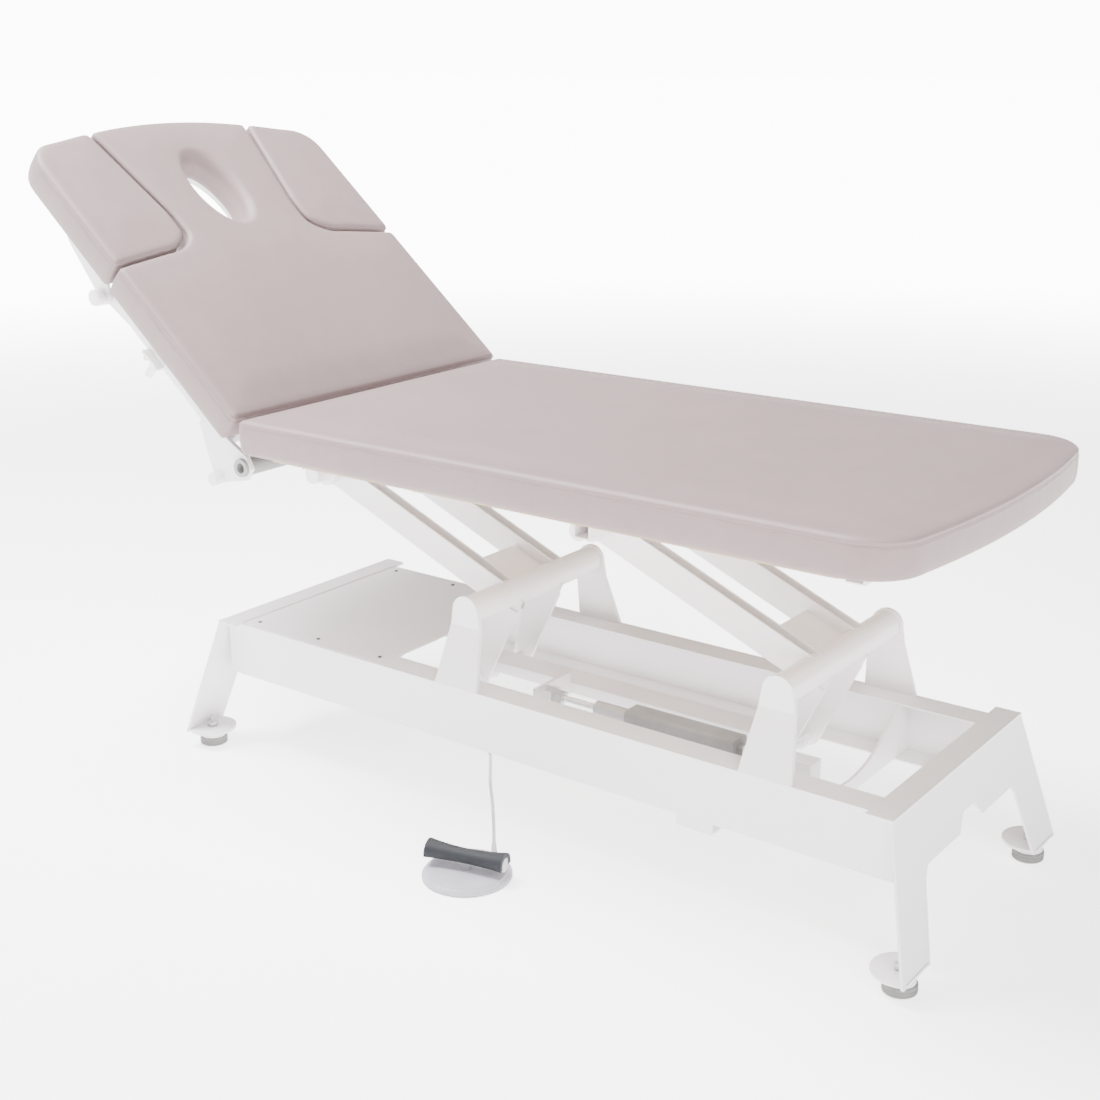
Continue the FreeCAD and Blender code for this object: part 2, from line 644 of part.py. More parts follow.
def pivot_lugs():
    """Four hangers; the foot pair has the open pivot's larger bore."""
    head = pivot_lug(TOWER_X[0], RUN_FIT)
    foot = pivot_lug(TOWER_X[1], OPEN_FIT)
    return group([head, mirror_y(head), foot, mirror_y(foot)])


def hinge_axle():
    """Tube on which the back section tilts, open at its ends."""
    axle = rod_y(HINGE_X, HINGE_Z, AXLE_RADIUS, -AXLE_HALF, AXLE_HALF)
    return axle.cut(rod_y(HINGE_X, HINGE_Z, AXLE_BORE, -AXLE_HALF, AXLE_HALF))


def leg_outline(inset):
    """Outline of the leg section: square at the back section, bowed with big corners at the foot."""
    half = CUSHION_WIDTH / 2 - inset
    x0 = LEG_HEAD_X + inset
    x1 = LEG_FOOT_X - inset
    shoulder = x1 - LEG_BOW
    radius = LEG_CORNER
    bend = radius * (1 - math.sqrt(0.5))
    near = [V(x0, -half, 0), V(shoulder - radius, -half, 0), V(shoulder - bend, -half + bend, 0),
            V(shoulder, -half + radius, 0)]
    far = [V(p.x, -p.y, 0) for p in near]
    return Part.Wire([
        Part.makeLine(near[0], near[1]),
        Part.Arc(near[1], near[2], near[3]).toShape(),
        Part.Arc(near[3], V(x1, 0, 0), far[3]).toShape(),
        Part.Arc(far[3], far[2], far[1]).toShape(),
        Part.makeLine(far[1], far[0]),
        Part.makeLine(far[0], near[0]),
    ])


def leg_slab(inset, z0, thick):
    """A slab of the leg section's outline."""
    slab = Part.Face(leg_outline(inset)).extrude(V(0, 0, thick))
    slab.translate(V(0, 0, z0))
    return slab


# Back section, built flat: x is -s, z is measured from the cushion's top face

def head_edge(y):
    """How far the bowed head edge reaches along s at a given y."""
    return BACK_LENGTH - HEAD_BOW * (y / NECK_HALF_TOP) ** 2


def back_wire(inset):
    """T-shaped outline: full width below the side pads, a waisted neck between them."""
    half = CUSHION_WIDTH / 2 - inset
    start = BACK_START + inset
    waist = NECK_HALF_WAIST - inset
    turn = V(-(BACK_SHOULDER + TURN_UP - inset * TURN_SHARE), -(waist + TURN_IN), 0)
    top = V(-(head_edge(NECK_HALF_TOP) - inset), -(NECK_HALF_TOP - inset), 0)
    shoulder = V(-(BACK_SHOULDER - inset), -(waist + SHOULDER_IN), 0)
    near = [V(-start, -half, 0), V(-(BACK_SPLIT - inset), -half, 0), shoulder,
            V(-NECK_TURN, -waist, 0), V(-NECK_WAIST, -waist, 0), top]
    crown = V(-(BACK_LENGTH - inset), 0, 0)
    far = [V(p.x, -p.y, 0) for p in near]
    return Part.Wire([
        Part.makeLine(near[0], near[1]),
        Part.makeLine(near[1], near[2]),
        Part.Arc(near[2], turn, near[3]).toShape(),
        Part.makeLine(near[3], near[4]),
        Part.makeLine(near[4], near[5]),
        Part.Arc(near[5], crown, far[5]).toShape(),
        Part.makeLine(far[5], far[4]),
        Part.makeLine(far[4], far[3]),
        Part.Arc(far[3], V(turn.x, -turn.y, 0), far[2]).toShape(),
        Part.makeLine(far[2], far[1]),
        Part.makeLine(far[1], far[0]),
        Part.makeLine(far[0], near[0]),
    ])


def face_opening(grow, z0, z1):
    """The oval breathing hole."""
    oval = Part.Ellipse(V(-FACE_CENTRE, 0, z0), FACE_HALF_LENGTH + grow, FACE_HALF_WIDTH + grow)
    face = Part.Face(Part.Wire([oval.toShape()]))
    return face.extrude(V(0, 0, z1 - z0))


def back_slab(inset, z0, thick, grow):
    """A slab of the back section's outline with the face opening through it."""
    slab = Part.Face(back_wire(inset)).extrude(V(0, 0, thick))
    slab.translate(V(0, 0, z0))
    return slab.cut(face_opening(grow, z0 - 1.0, z0 + thick + 1.0))


def pad_wire(inset):
    """Outline of the near side pad: it follows the neck and has a round outer corner."""
    half = CUSHION_WIDTH / 2 - inset
    gap = PAD_GAP + inset
    low = PAD_SHOULDER_GAP + inset
    waist = NECK_HALF_WAIST + gap
    top_in = V(-(head_edge(NECK_HALF_TOP) - inset), -(NECK_HALF_TOP + gap), 0)
    start = V(-(BACK_SPLIT + low), -half, 0)
    shoulder = V(-(BACK_SHOULDER + low), -(waist + SHOULDER_IN), 0)
    turn = V(-(BACK_SHOULDER + TURN_UP + low), -(waist + TURN_IN), 0)
    neck = V(-(NECK_TURN + low), -waist, 0)
    neck_top = V(-(NECK_WAIST + low), -waist, 0)
    edge = head_edge(NECK_HALF_TOP) - PAD_TOP_DROP - inset
    bend = PAD_CORNER * (1 - math.sqrt(0.5))
    corner = [V(-edge, -half + PAD_CORNER, 0), V(-edge + bend, -half + bend, 0),
              V(-edge + PAD_CORNER, -half, 0)]
    return Part.Wire([
        Part.makeLine(start, shoulder),
        Part.Arc(shoulder, turn, neck).toShape(),
        Part.makeLine(neck, neck_top),
        Part.makeLine(neck_top, top_in),
        Part.makeLine(top_in, corner[0]),
        Part.Arc(corner[0], corner[1], corner[2]).toShape(),
        Part.makeLine(corner[2], start),
    ])


def pad_slab(inset, z0, thick):
    """A slab of the near side pad's outline."""
    slab = Part.Face(pad_wire(inset)).extrude(V(0, 0, thick))
    slab.translate(V(0, 0, z0))
    return slab


def back_frame():
    """Welded tube frame under the back section, with the lugs of the side pads and the spring crank."""
    top = -CUSHION_THICK - BOARD_THICK
    low = top - BACK_TUBE_DEPTH
    rail = square_tube(-BACK_RAIL_END, -BACK_RAIL_START, BACK_RAIL_Y, BACK_RAIL_Y + BACK_TUBE, low, top,
                       TOP_TUBE_WALL, "x")
    neck = square_tube(-NECK_RAIL_END, -BACK_RAIL_END, NECK_RAIL_Y, NECK_RAIL_Y + BACK_TUBE, low, top,
                       TOP_TUBE_WALL, "x")
    pieces = [rail, mirror_y(rail), neck, mirror_y(neck)]
    for s, half in ((BACK_RAIL_START + BACK_TUBE, BACK_RAIL_Y), (BACK_RAIL_END, BACK_RAIL_Y),
                    (NECK_RAIL_END, NECK_RAIL_Y)):
        pieces.append(square_tube(-s, -s + BACK_TUBE, -half, half, low, top, TOP_TUBE_WALL, "y"))
    frame = fuse(pieces)
    lug = pad_lug()
    crank = spring_crank()
    return fuse([frame, lug, mirror_y(lug), crank])


def pad_lug():
    """Lug at the end of a side rail that carries a side pad's pin."""
    top = -CUSHION_THICK - BOARD_THICK
    y0 = BACK_RAIL_Y + BACK_TUBE - LUG_PLATE
    plate = plate_y([(-BACK_RAIL_END + 40.0, top), (-PAD_PIVOT_S, PAD_PIVOT_OFF + PAD_LUG_RADIUS),
                     (-PAD_PIVOT_S, PAD_PIVOT_OFF - PAD_LUG_RADIUS),
                     (-BACK_RAIL_END + 40.0, top - BACK_TUBE_DEPTH)], y0, LUG_PLATE)
    lug = fuse([plate, rod_y(-PAD_PIVOT_S, PAD_PIVOT_OFF, PAD_LUG_RADIUS, y0, y0 + LUG_PLATE)])
    pin = rod_y(-PAD_PIVOT_S, PAD_PIVOT_OFF, PAD_PIN_RADIUS, y0, PAD_ARM_Y + PAD_ARM_THICK + 2.0)
    return fuse([lug, pin])


def crank_pin():
    """Place of the crank's pin, which the spring drives, measured from the hinge axle."""
    a = math.radians(BACK_ANGLE / 2)
    return HINGE_X - CRANK_LENGTH * math.sin(a), HINGE_Z - CRANK_LENGTH * math.cos(a)


def to_back(shape):
    """Carries a shape from the bed's frame into the flat back section's frame."""
    copy = shape.copy()
    copy.translate(V(-LEG_HEAD_X, 0, -TOP_HEIGHT))
    copy.rotate(V(0, 0, 0), ACROSS, -BACK_ANGLE)
    return copy


def spring_crank():
    """Crank plate from the lower cross tube to the spring's pin."""
    x, z = crank_pin()
    s = BACK_RAIL_START + BACK_TUBE / 2
    bx, bz = back_point(s, -CUSHION_THICK - BOARD_THICK - BACK_TUBE_DEPTH + 2.0)
    y0 = CRANK_Y - EYE_THICK / 2 - CRANK_GAP - LUG_PLATE
    half = PAD_LUG_RADIUS
    plate = plate_y([(bx - half, bz + 8.0), (bx + half, bz - half), (x + half, z), (x - half, z)],
                    y0, LUG_PLATE)
    eye = rod_y(x, z, half, y0, y0 + LUG_PLATE)
    pin = rod_y(x, z, PAD_PIN_RADIUS, y0, CRANK_Y + EYE_THICK / 2 + 2.0)
    return to_back(fuse([plate, eye, pin]))


def hinge_cheek():
    """Cheek plate between a side rail of the back frame and the axle."""
    s = BACK_RAIL_START + 56.0
    low = -CUSHION_THICK - BOARD_THICK - BACK_TUBE_DEPTH
    ax, az = back_point(s, low)
    below_board = low + BACK_TUBE_DEPTH - 2.0
    bx, bz = back_point(s, below_board)
    cx, cz = back_point(BACK_RAIL_START, below_board)
    plate = plate_y([(ax, az), (bx, bz), (cx, cz), (HINGE_X + 10.0, HINGE_Z + 20.0),
                     (HINGE_X + 22.0, HINGE_Z), (HINGE_X + 6.0, HINGE_Z - 22.0),
                     (HINGE_X - 52.0, HINGE_Z - 34.0), (HINGE_X - 76.0, HINGE_Z - 22.0)],
                    CHEEK_Y, CHEEK_THICK)
    return plate.cut(rod_y(HINGE_X, HINGE_Z, AXLE_RADIUS + RUN_FIT, CHEEK_Y, CHEEK_Y + CHEEK_THICK))


def hinge_cheeks():
    """Both cheek plates."""
    cheek = hinge_cheek()
    return group([cheek, mirror_y(cheek)])


def back_handle():
    """Release handle of the gas spring on the near side rail: a foot plate, a round grip and a stub."""
    top, low = HANDLE_BASE
    y0 = -BACK_RAIL_Y - BACK_TUBE - HANDLE_PLATE
    reach = STUB_OFFSET + 2 * STUB_RADIUS
    plate = box(-HANDLE_S - reach, -HANDLE_S + reach / 2, y0, y0 + HANDLE_PLATE, low, top)
    plate = plate.fuse(box(-HANDLE_S - reach, -HANDLE_S + reach / 2, y0 - 2 * GRIP_RADIUS, y0, low,
                           low + HANDLE_PLATE))
    grip = rod_z(-HANDLE_S, y0 - GRIP_RADIUS, GRIP_RADIUS, low - GRIP_LENGTH, low)
    grip = grip.makeFillet(GRIP_RADIUS / 2, [grip.Edges[2]])
    stub = rod_z(-HANDLE_S - STUB_OFFSET, y0 - GRIP_RADIUS, STUB_RADIUS, low - GRIP_LENGTH / 3, low)
    return fuse([plate, grip, stub])


def hinge_bolts():
    """Round bolt heads at the lower end of both cheek plates."""
    bolt = rod_y(HINGE_X - BOLT_BACK, HINGE_Z - BOLT_DROP, BOLT_RADIUS, CHEEK_Y + CHEEK_THICK,
                 CHEEK_Y + CHEEK_THICK + BOLT_LENGTH)
    return group([bolt, mirror_y(bolt)])


def knob(x, z, y0, fit_radius, depth):
    """Round clamp knob on the near side, bored over its pin."""
    body = rod_y(x, z, KNOB_RADIUS, y0 - KNOB_LENGTH, y0)
    body = body.makeFillet(KNOB_ROUNDING, [body.Edges[0], body.Edges[2]])
    return body.cut(rod_y(x, z, fit_radius, y0 - depth, y0))


def pad_arm():
    """Board and folded arm of the near side pad, bored for the lug's pin."""
    top = -CUSHION_THICK
    board = pad_slab(BOARD_INSET, top - BOARD_THICK, BOARD_THICK)
    y0 = -PAD_ARM_Y - PAD_ARM_THICK
    arm = plate_y([(-PAD_PIVOT_S + PAD_EYE_RADIUS, PAD_PIVOT_OFF),
                   (-PAD_PIVOT_S - PAD_EYE_RADIUS, PAD_PIVOT_OFF - 8.0),
                   (-PAD_PIVOT_S - 120.0, top - BOARD_THICK - 12.0),
                   (-PAD_PIVOT_S - 150.0, top - BOARD_THICK), (-PAD_PIVOT_S - 4.0, top - BOARD_THICK)],
                  y0, PAD_ARM_THICK)
    eye = rod_y(-PAD_PIVOT_S, PAD_PIVOT_OFF, PAD_EYE_RADIUS, y0, y0 + PAD_ARM_THICK)
    whole = fuse([board, arm, eye])
    return whole.cut(rod_y(-PAD_PIVOT_S, PAD_PIVOT_OFF, PAD_PIN_RADIUS + RUN_FIT, y0, y0 + PAD_ARM_THICK))


# Gas spring

def spring_cylinder():
    """Pressure tube of the gas spring, with the hanger that holds it to the cross tube."""
    x, z = crank_pin()
    top, bottom = top_levels()
    tube = rod_x(CRANK_Y, z, SPRING_RADIUS, SPRING_TAIL_X - SPRING_LENGTH, SPRING_TAIL_X)
    tube = tube.cut(rod_x(CRANK_Y, z, SPRING_ROD_RADIUS + RUN_FIT, SPRING_TAIL_X - SPRING_LENGTH,
                          SPRING_TAIL_X - 8.0))
    hanger = box(SPRING_TAIL_X, SPRING_TAIL_X + 8.0, CRANK_Y - 14.0, CRANK_Y + 14.0, z - 14.0, top)
    ledge = box(SPRING_TAIL_X + 8.0, CROSS_X[1], CRANK_Y - 14.0, CRANK_Y + 14.0, top - CROSS_DEPTH, top)
    return fuse([tube, hanger, ledge])


def spring_rod():
    """Rod of the gas spring, with an eye that has room round the crank's pin."""
    x, z = crank_pin()
    y0 = CRANK_Y - EYE_THICK / 2
    eye = rod_y(x, z, EYE_RADIUS + EYE_CLEARANCE, y0, y0 + EYE_THICK)
    start = x + PAD_PIN_RADIUS + EYE_CLEARANCE + 2.0
    rod = rod_x(CRANK_Y, z, SPRING_ROD_RADIUS, start, SPRING_TAIL_X - 60.0)
    whole = fuse([eye, rod])
    return whole.cut(rod_y(x, z, PAD_PIN_RADIUS + EYE_CLEARANCE, y0, y0 + EYE_THICK))


# Foot switch, built along X at the origin

def at_switch(shape):
    """Carries a shape of the foot switch to its place on the floor."""
    copy = shape.copy()
    copy.rotate(V(0, 0, 0), UP, SWITCH_ANGLE)
    copy.translate(V(SWITCH_X, SWITCH_Y, 0))
    return copy


def switch_base():
    """Low round base with a post for the rocker's pin."""
    base = Part.makeCone(SWITCH_RADIUS, SWITCH_RADIUS - SWITCH_BEVEL, SWITCH_HEIGHT, V(0, 0, 0), UP)
    post = box(-POST_HALF, POST_HALF, -POST_DEPTH, POST_DEPTH, SWITCH_HEIGHT, PEDAL_Z + 5.0)
    whole = fuse([base, post])
    return whole.cut(rod_y(0, PEDAL_Z, PEDAL_PIN + RUN_FIT, -POST_DEPTH, POST_DEPTH))


def rocker_core():
    """Round core of the rocker with its pin, slotted over the post."""
    core = rod_x(0, PEDAL_Z, CORE_RADIUS, -PEDAL_HALF + 1.0, PEDAL_HALF - 1.0)
    slot = box(-POST_HALF - 4.0, POST_HALF + 4.0, -POST_DEPTH - SIDE_GAP, POST_DEPTH + SIDE_GAP,
               PEDAL_Z - CORE_RADIUS, PEDAL_Z + CORE_RADIUS - 3.0)
    pin = rod_y(0, PEDAL_Z, PEDAL_PIN, -POST_DEPTH - 2.0, POST_DEPTH + 2.0)
    return fuse([core.cut(slot), pin])


def rocker_cover():
    """Waisted shell over the core: an arc turned round the rocker's axis, open below."""
    ends = [V(-PEDAL_HALF, 0, PEDAL_END_RADIUS), V(PEDAL_HALF, 0, PEDAL_END_RADIUS)]
    edges = [
        Part.makeLine(V(-PEDAL_HALF, 0, 0), ends[0]),
        Part.Arc(ends[0], V(0, 0, PEDAL_WAIST_RADIUS), ends[1]).toShape(),
        Part.makeLine(ends[1], V(PEDAL_HALF, 0, 0)),
        Part.makeLine(V(PEDAL_HALF, 0, 0), V(-PEDAL_HALF, 0, 0)),
    ]
    body = Part.Face(Part.Wire(edges)).revolve(V(0, 0, 0), ALONG, 360)
    body.translate(V(0, 0, PEDAL_Z))
    body = body.cut(rod_x(0, PEDAL_Z, CORE_RADIUS, -PEDAL_HALF, PEDAL_HALF))
    below = box(-PEDAL_HALF, PEDAL_HALF, -PEDAL_END_RADIUS, PEDAL_END_RADIUS, 0.0,
                PEDAL_Z - PEDAL_SKIRT)
    return body.cut(below)


def cord_gland():
    """Gland under the near rail, where the switch cord leaves the bed."""
    x, y, z = CORD_POINTS[0]
    neck = Part.makeCone(CORD_RADIUS + 0.8, GLAND_RADIUS - 1.0, GLAND_HEIGHT / 2, V(x, y, z), UP)
    return fuse([neck, rod_z(x, y, GLAND_RADIUS, z + GLAND_HEIGHT / 2, RAIL_BOTTOM)])


def cord_boot():
    """Tapered strain relief between the cord's end and the rim of the switch base."""
    end = V(*CORD_POINTS[-1])
    run = end - V(*CORD_POINTS[-2])
    run.normalize()
    boot = Part.makeCone(CORD_RADIUS + 0.6, BOOT_RADIUS, BOOT_LENGTH, end, run)
    return boot.cut(at_switch(switch_base()))


def switch_cord():
    """Tube along straight runs joined by tangent arcs, each as large as its runs allow."""
    points = [V(*p) for p in CORD_POINTS]
    edges = []
    last = points[0]
    for before, corner, after in zip(points, points[1:], points[2:]):
        came = corner - before
        goes = after - corner
        half_turn = came.getAngle(goes) / 2
        reach = CORD_SHARE * min(came.Length, goes.Length)
        radius = reach / math.tan(half_turn)
        came.normalize()
        goes.normalize()
        start = corner - came * reach
        end = corner + goes * reach
        inward = goes - came
        inward.normalize()
        middle = corner + inward * (radius / math.cos(half_turn) - radius)
        edges.append(Part.makeLine(last, start))
        edges.append(Part.Arc(start, middle, end).toShape())
        last = end
        print("cord bend radius", round(radius, 1))
    edges.append(Part.makeLine(last, points[-1]))
    path = Part.Wire(edges)
    ring = Part.Wire([Part.makeCircle(CORD_RADIUS, points[0], points[1] - points[0])])
    tube = path.makePipeShell([ring], True, False)
    expected = math.pi * CORD_RADIUS ** 2 * path.Length
    print("cord length", round(path.Length, 1), "volume ratio", round(tube.Volume / expected, 4))
    return tube


def main():
    """Builds and writes every node."""
    os.makedirs("parts", exist_ok=True)
    rail = side_rail()
    save("near_rail", rail)
    save("far_rail", mirror_y(rail))
    save("head_end_frame", end_frame(-1))
    save("foot_end_frame", end_frame(1))
    save("cover_plate", cover_plate())
    save("cover_screws", cover_screws())
    save("control_box", control_box())
    for name, x in zip(("head", "foot"), TOWER_X):
        save(name + "_tower_near", tower_plate(x, -1))
        save(name + "_tower_far", tower_plate(x, 1))
    save("journal_pins", journal_pins())
    save("cross_member", cross_member())
    save("rail_tab", rail_tab())
    spots = [(-FOOT_X, -FOOT_Y), (-FOOT_X, FOOT_Y), (FOOT_X, -FOOT_Y), (FOOT_X, FOOT_Y)]
    for number, (x, y) in enumerate(spots, 1):
        save("foot_" + str(number), levelling_foot(x, y))
    for name, x in zip(("head", "foot"), TOWER_X):
        save(name + "_lift_tube", turned(lift_tube(), LIFT_ANGLE, x, PIVOT_Z))
        save(name + "_arm_near", turned(lift_arm(-1), LIFT_ANGLE, x, PIVOT_Z))
        save(name + "_arm_far", turned(lift_arm(1), LIFT_ANGLE, x, PIVOT_Z))
        save(name + "_web", turned(lift_web(), LIFT_ANGLE, x, PIVOT_Z))
        save(name + "_levers", turned(lift_levers(), LIFT_ANGLE, x, PIVOT_Z))
        save(name + "_upper_tube", turned(upper_tube(), LIFT_ANGLE, x, PIVOT_Z))
    save("link_bar", link_bar())
    save("actuator_clevis", actuator_clevis())
    save("actuator_rod", actuator_rod())
    save("actuator_tube", actuator_tube())
    save("actuator_housing", actuator_housing())
    top, bottom = top_levels()
    save("top_frame", top_frame())
    save("pivot_lugs", pivot_lugs())
    save("hinge_axle", hinge_axle())
    save("leg_board", leg_slab(LEG_BOARD_INSET, top, BOARD_THICK))
    save("leg_cushion", leg_slab(0.0, TOP_HEIGHT - CUSHION_THICK, CUSHION_THICK))
    save("back_frame", on_back(back_frame()))
    save("hinge_cheeks", hinge_cheeks())
    save("hinge_bolts", hinge_bolts())
    save("back_handle", on_back(back_handle()))
    save("back_board", on_back(back_slab(BOARD_INSET, -CUSHION_THICK - BOARD_THICK, BOARD_THICK, 6.0)))
    save("back_cushion", on_back(back_slab(0.0, -CUSHION_THICK, CUSHION_THICK, 0.0)))
    arm = pad_arm()
    pad = pad_slab(0.0, -CUSHION_THICK, CUSHION_THICK)
    save("near_pad_arm", on_back(arm))
    save("far_pad_arm", on_back(mirror_y(arm)))
    save("near_pad", on_back(pad))
    save("far_pad", on_back(mirror_y(pad)))
    x, z = back_point(PAD_PIVOT_S, PAD_PIVOT_OFF)
    clamp = knob(x, z, -PAD_ARM_Y - PAD_ARM_THICK - SIDE_GAP, PAD_PIN_RADIUS + RUN_FIT, KNOB_DEPTH)
    save("near_pad_knob", clamp)
    save("far_pad_knob", mirror_y(clamp))
    save("spring_cylinder", spring_cylinder())
    save("spring_rod", spring_rod())
    save("switch_base", at_switch(switch_base()))
    save("rocker_core", at_switch(rocker_core()))
    save("rocker_cover", at_switch(rocker_cover()))
    save("cord_gland", cord_gland())
    save("cord_boot", cord_boot())
    save("switch_cord", switch_cord())


main()
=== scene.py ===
"""Facial treatment bed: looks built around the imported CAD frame, in metres."""

import json
import logging
import math
from dataclasses import dataclass, field
from enum import Enum
from typing import Any, Callable, Dict, List, Optional, Sequence, Tuple, Union

import bpy
import numpy as np
from mathutils import Matrix, Vector
from mathutils.geometry import delaunay_2d_cdt

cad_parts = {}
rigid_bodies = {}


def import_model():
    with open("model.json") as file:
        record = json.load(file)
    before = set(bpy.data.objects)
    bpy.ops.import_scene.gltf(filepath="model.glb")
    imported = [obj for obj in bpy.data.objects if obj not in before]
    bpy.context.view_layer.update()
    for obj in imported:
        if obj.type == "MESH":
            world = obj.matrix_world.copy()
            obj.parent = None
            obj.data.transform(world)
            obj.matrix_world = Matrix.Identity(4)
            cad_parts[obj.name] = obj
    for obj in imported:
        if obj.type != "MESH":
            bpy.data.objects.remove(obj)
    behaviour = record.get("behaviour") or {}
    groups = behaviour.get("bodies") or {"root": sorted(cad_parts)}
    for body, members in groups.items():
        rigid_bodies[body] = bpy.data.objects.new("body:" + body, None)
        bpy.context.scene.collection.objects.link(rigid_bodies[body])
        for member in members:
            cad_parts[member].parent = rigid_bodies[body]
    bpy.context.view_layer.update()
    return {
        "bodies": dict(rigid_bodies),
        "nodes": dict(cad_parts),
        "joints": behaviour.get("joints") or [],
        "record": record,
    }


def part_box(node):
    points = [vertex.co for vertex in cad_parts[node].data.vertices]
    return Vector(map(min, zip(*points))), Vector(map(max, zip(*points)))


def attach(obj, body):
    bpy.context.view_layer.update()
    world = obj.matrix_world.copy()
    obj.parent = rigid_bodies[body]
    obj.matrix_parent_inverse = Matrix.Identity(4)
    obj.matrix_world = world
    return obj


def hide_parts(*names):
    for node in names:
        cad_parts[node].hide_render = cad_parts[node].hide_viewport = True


LOG = logging.getLogger("treatment_bed")
Colour = Tuple[float, float, float]
Point = Tuple[float, float, float]
Array = np.ndarray

BACK_TILT = math.radians(40.5)
LEG_HEAD = -0.476
TOP_HEIGHT = 0.690
CUSHION = 0.060


# Shader maths

class Num:
    """A number that varies over a surface; Python's operators add Math nodes."""

    def __init__(self, graph: "Graph", socket: bpy.types.NodeSocket) -> None:
        """Wraps one output socket of a graph."""
        self.graph = graph
        self.socket = socket

    def _math(self, operation: str, first: Any, second: Any) -> "Num":
        """One Math node of two values."""
        return self.graph.value("ShaderNodeMath", {"operation": operation}, {0: first, 1: second})

    def __add__(self, other: Any) -> "Num":
        """self + other"""
        return self._math("ADD", self, other)

    __radd__ = __add__

    def __rsub__(self, other: Any) -> "Num":
        """other - self"""
        return self._math("SUBTRACT", other, self)

    def __mul__(self, other: Any) -> "Num":
        """self * other"""
        return self._math("MULTIPLY", self, other)

    __rmul__ = __mul__

    def step(self, low: float, high: float) -> "Num":
        """A smooth step from 0 at low to 1 at high."""
        settings = {"interpolation_type": "SMOOTHSTEP"}
        return self.graph.value("ShaderNodeMapRange", settings, {0: self, 1: low, 2: high}, "Result")


class Graph:
    """The node graph of one material, on Object coordinates."""

    def __init__(self, name: str) -> None:
        """Starts an empty material.

        Args:
            name: the material's name.
        """
        self.material = bpy.data.materials.new(name)
        self.material.use_nodes = True
        self.tree = self.material.node_tree
        self.tree.nodes.clear()
        self.place = self.node("ShaderNodeTexCoord").outputs["Object"]

    def node(self, kind: str, settings: Optional[Dict[str, Any]] = None,
             inputs: Optional[Dict[Any, Any]] = None) -> bpy.types.Node:
        """Adds a node: its settings first, then the values or links of its sockets.

        Args:
            kind: the node's type.
            settings: its properties; "stops" holds a ramp's positions and colours.
            inputs: a value, a Num or an output socket for each input.

        Returns:
            The new node.
        """
        made = self.tree.nodes.new(kind)
        for key, value in (settings or {}).items():
            if key == "stops":
                ramp = made.color_ramp
                for place, tint in value[:-2]:
                    ramp.elements.new(place)
                for element, (place, tint) in zip(ramp.elements, value):
                    element.position = place
                    element.color = (*tint, 1.0)
            else:
                setattr(made, key, value)
        for key, value in (inputs or {}).items():
            self.feed(made.inputs[key], value)
        return made

    def feed(self, socket: bpy.types.NodeSocket, value: Any) -> None:
        """Links or sets one input socket."""
        if isinstance(value, Num):
            self.tree.links.new(value.socket, socket)
        elif isinstance(value, bpy.types.NodeSocket):
            self.tree.links.new(value, socket)
        elif isinstance(value, tuple) and len(value) == 3 and socket.type == "RGBA":
            socket.default_value = (*value, 1.0)
        else:
            socket.default_value = value

    def value(self, kind: str, settings: Dict[str, Any], inputs: Dict[Any, Any],
              output: Union[int, str] = 0) -> Num:
        """A node whose output is used as a number."""
        return Num(self, self.node(kind, settings, inputs).outputs[output])

    def stretched(self, scale: Point) -> bpy.types.NodeSocket:
        """Object coordinates scaled per axis, for brushed or drawn patterns."""
        return self.node("ShaderNodeMapping", {}, {"Vector": self.place, "Scale": scale}).outputs[0]

    def noise(self, scale: float, detail: float = 3.0, rough: float = 0.5,
              place: Optional[bpy.types.NodeSocket] = None) -> Num:
        """Fractal noise from 0 to 1."""
        inputs = {"Vector": place or self.place, "Scale": scale, "Detail": detail, "Roughness": rough}
        return self.value("ShaderNodeTexNoise", {}, inputs, "Fac")

    def cells(self, scale: float, place: Optional[bpy.types.NodeSocket] = None) -> Num:
        """Distance from the edges between irregular cells."""
        settings = {"feature": "DISTANCE_TO_EDGE"}
        inputs = {"Vector": place or self.place, "Scale": scale}
        return self.value("ShaderNodeTexVoronoi", settings, inputs, "Distance")

    def axis(self, index: int) -> Num:
        """One Object coordinate as a number."""
        return self.value("ShaderNodeSeparateXYZ", {}, {0: self.place}, index)

    def blend(self, low: Any, high: Any, share: Any) -> bpy.types.NodeSocket:
        """Mixes two colours."""
        made = self.node("ShaderNodeMix", {"data_type": "RGBA"}, {0: share, 6: low, 7: high})
        return made.outputs[2]

    def bump(self, height: Num, depth: float, strength: float = 1.0,
             normal: Optional[bpy.types.NodeSocket] = None) -> bpy.types.NodeSocket:
        """A Bump node of a given depth in metres."""
        inputs = {"Height": height, "Distance": depth, "Strength": strength}
        if normal is not None:
            inputs["Normal"] = normal
        return self.node("ShaderNodeBump", {}, inputs).outputs[0]

    def soft_edges(self, radius: float) -> bpy.types.NodeSocket:
        """A normal that rounds hard edges by a small radius."""
        return self.node("ShaderNodeBevel", {"samples": 4}, {"Radius": radius}).outputs[0]

    def surface(self, **inputs: Any) -> bpy.types.Material:
        """Ends the graph in a Principled surface.

        Args:
            inputs: Principled sockets by name, with underscores for spaces.

        Returns:
            The finished material.
        """
        named = {key.replace("_", " "): value for key, value in inputs.items()}
        shader = self.node("ShaderNodeBsdfPrincipled", {}, named)
        out = self.node("ShaderNodeOutputMaterial")
        self.tree.links.new(shader.outputs[0], out.inputs[0])
        return self.material


# Finishes

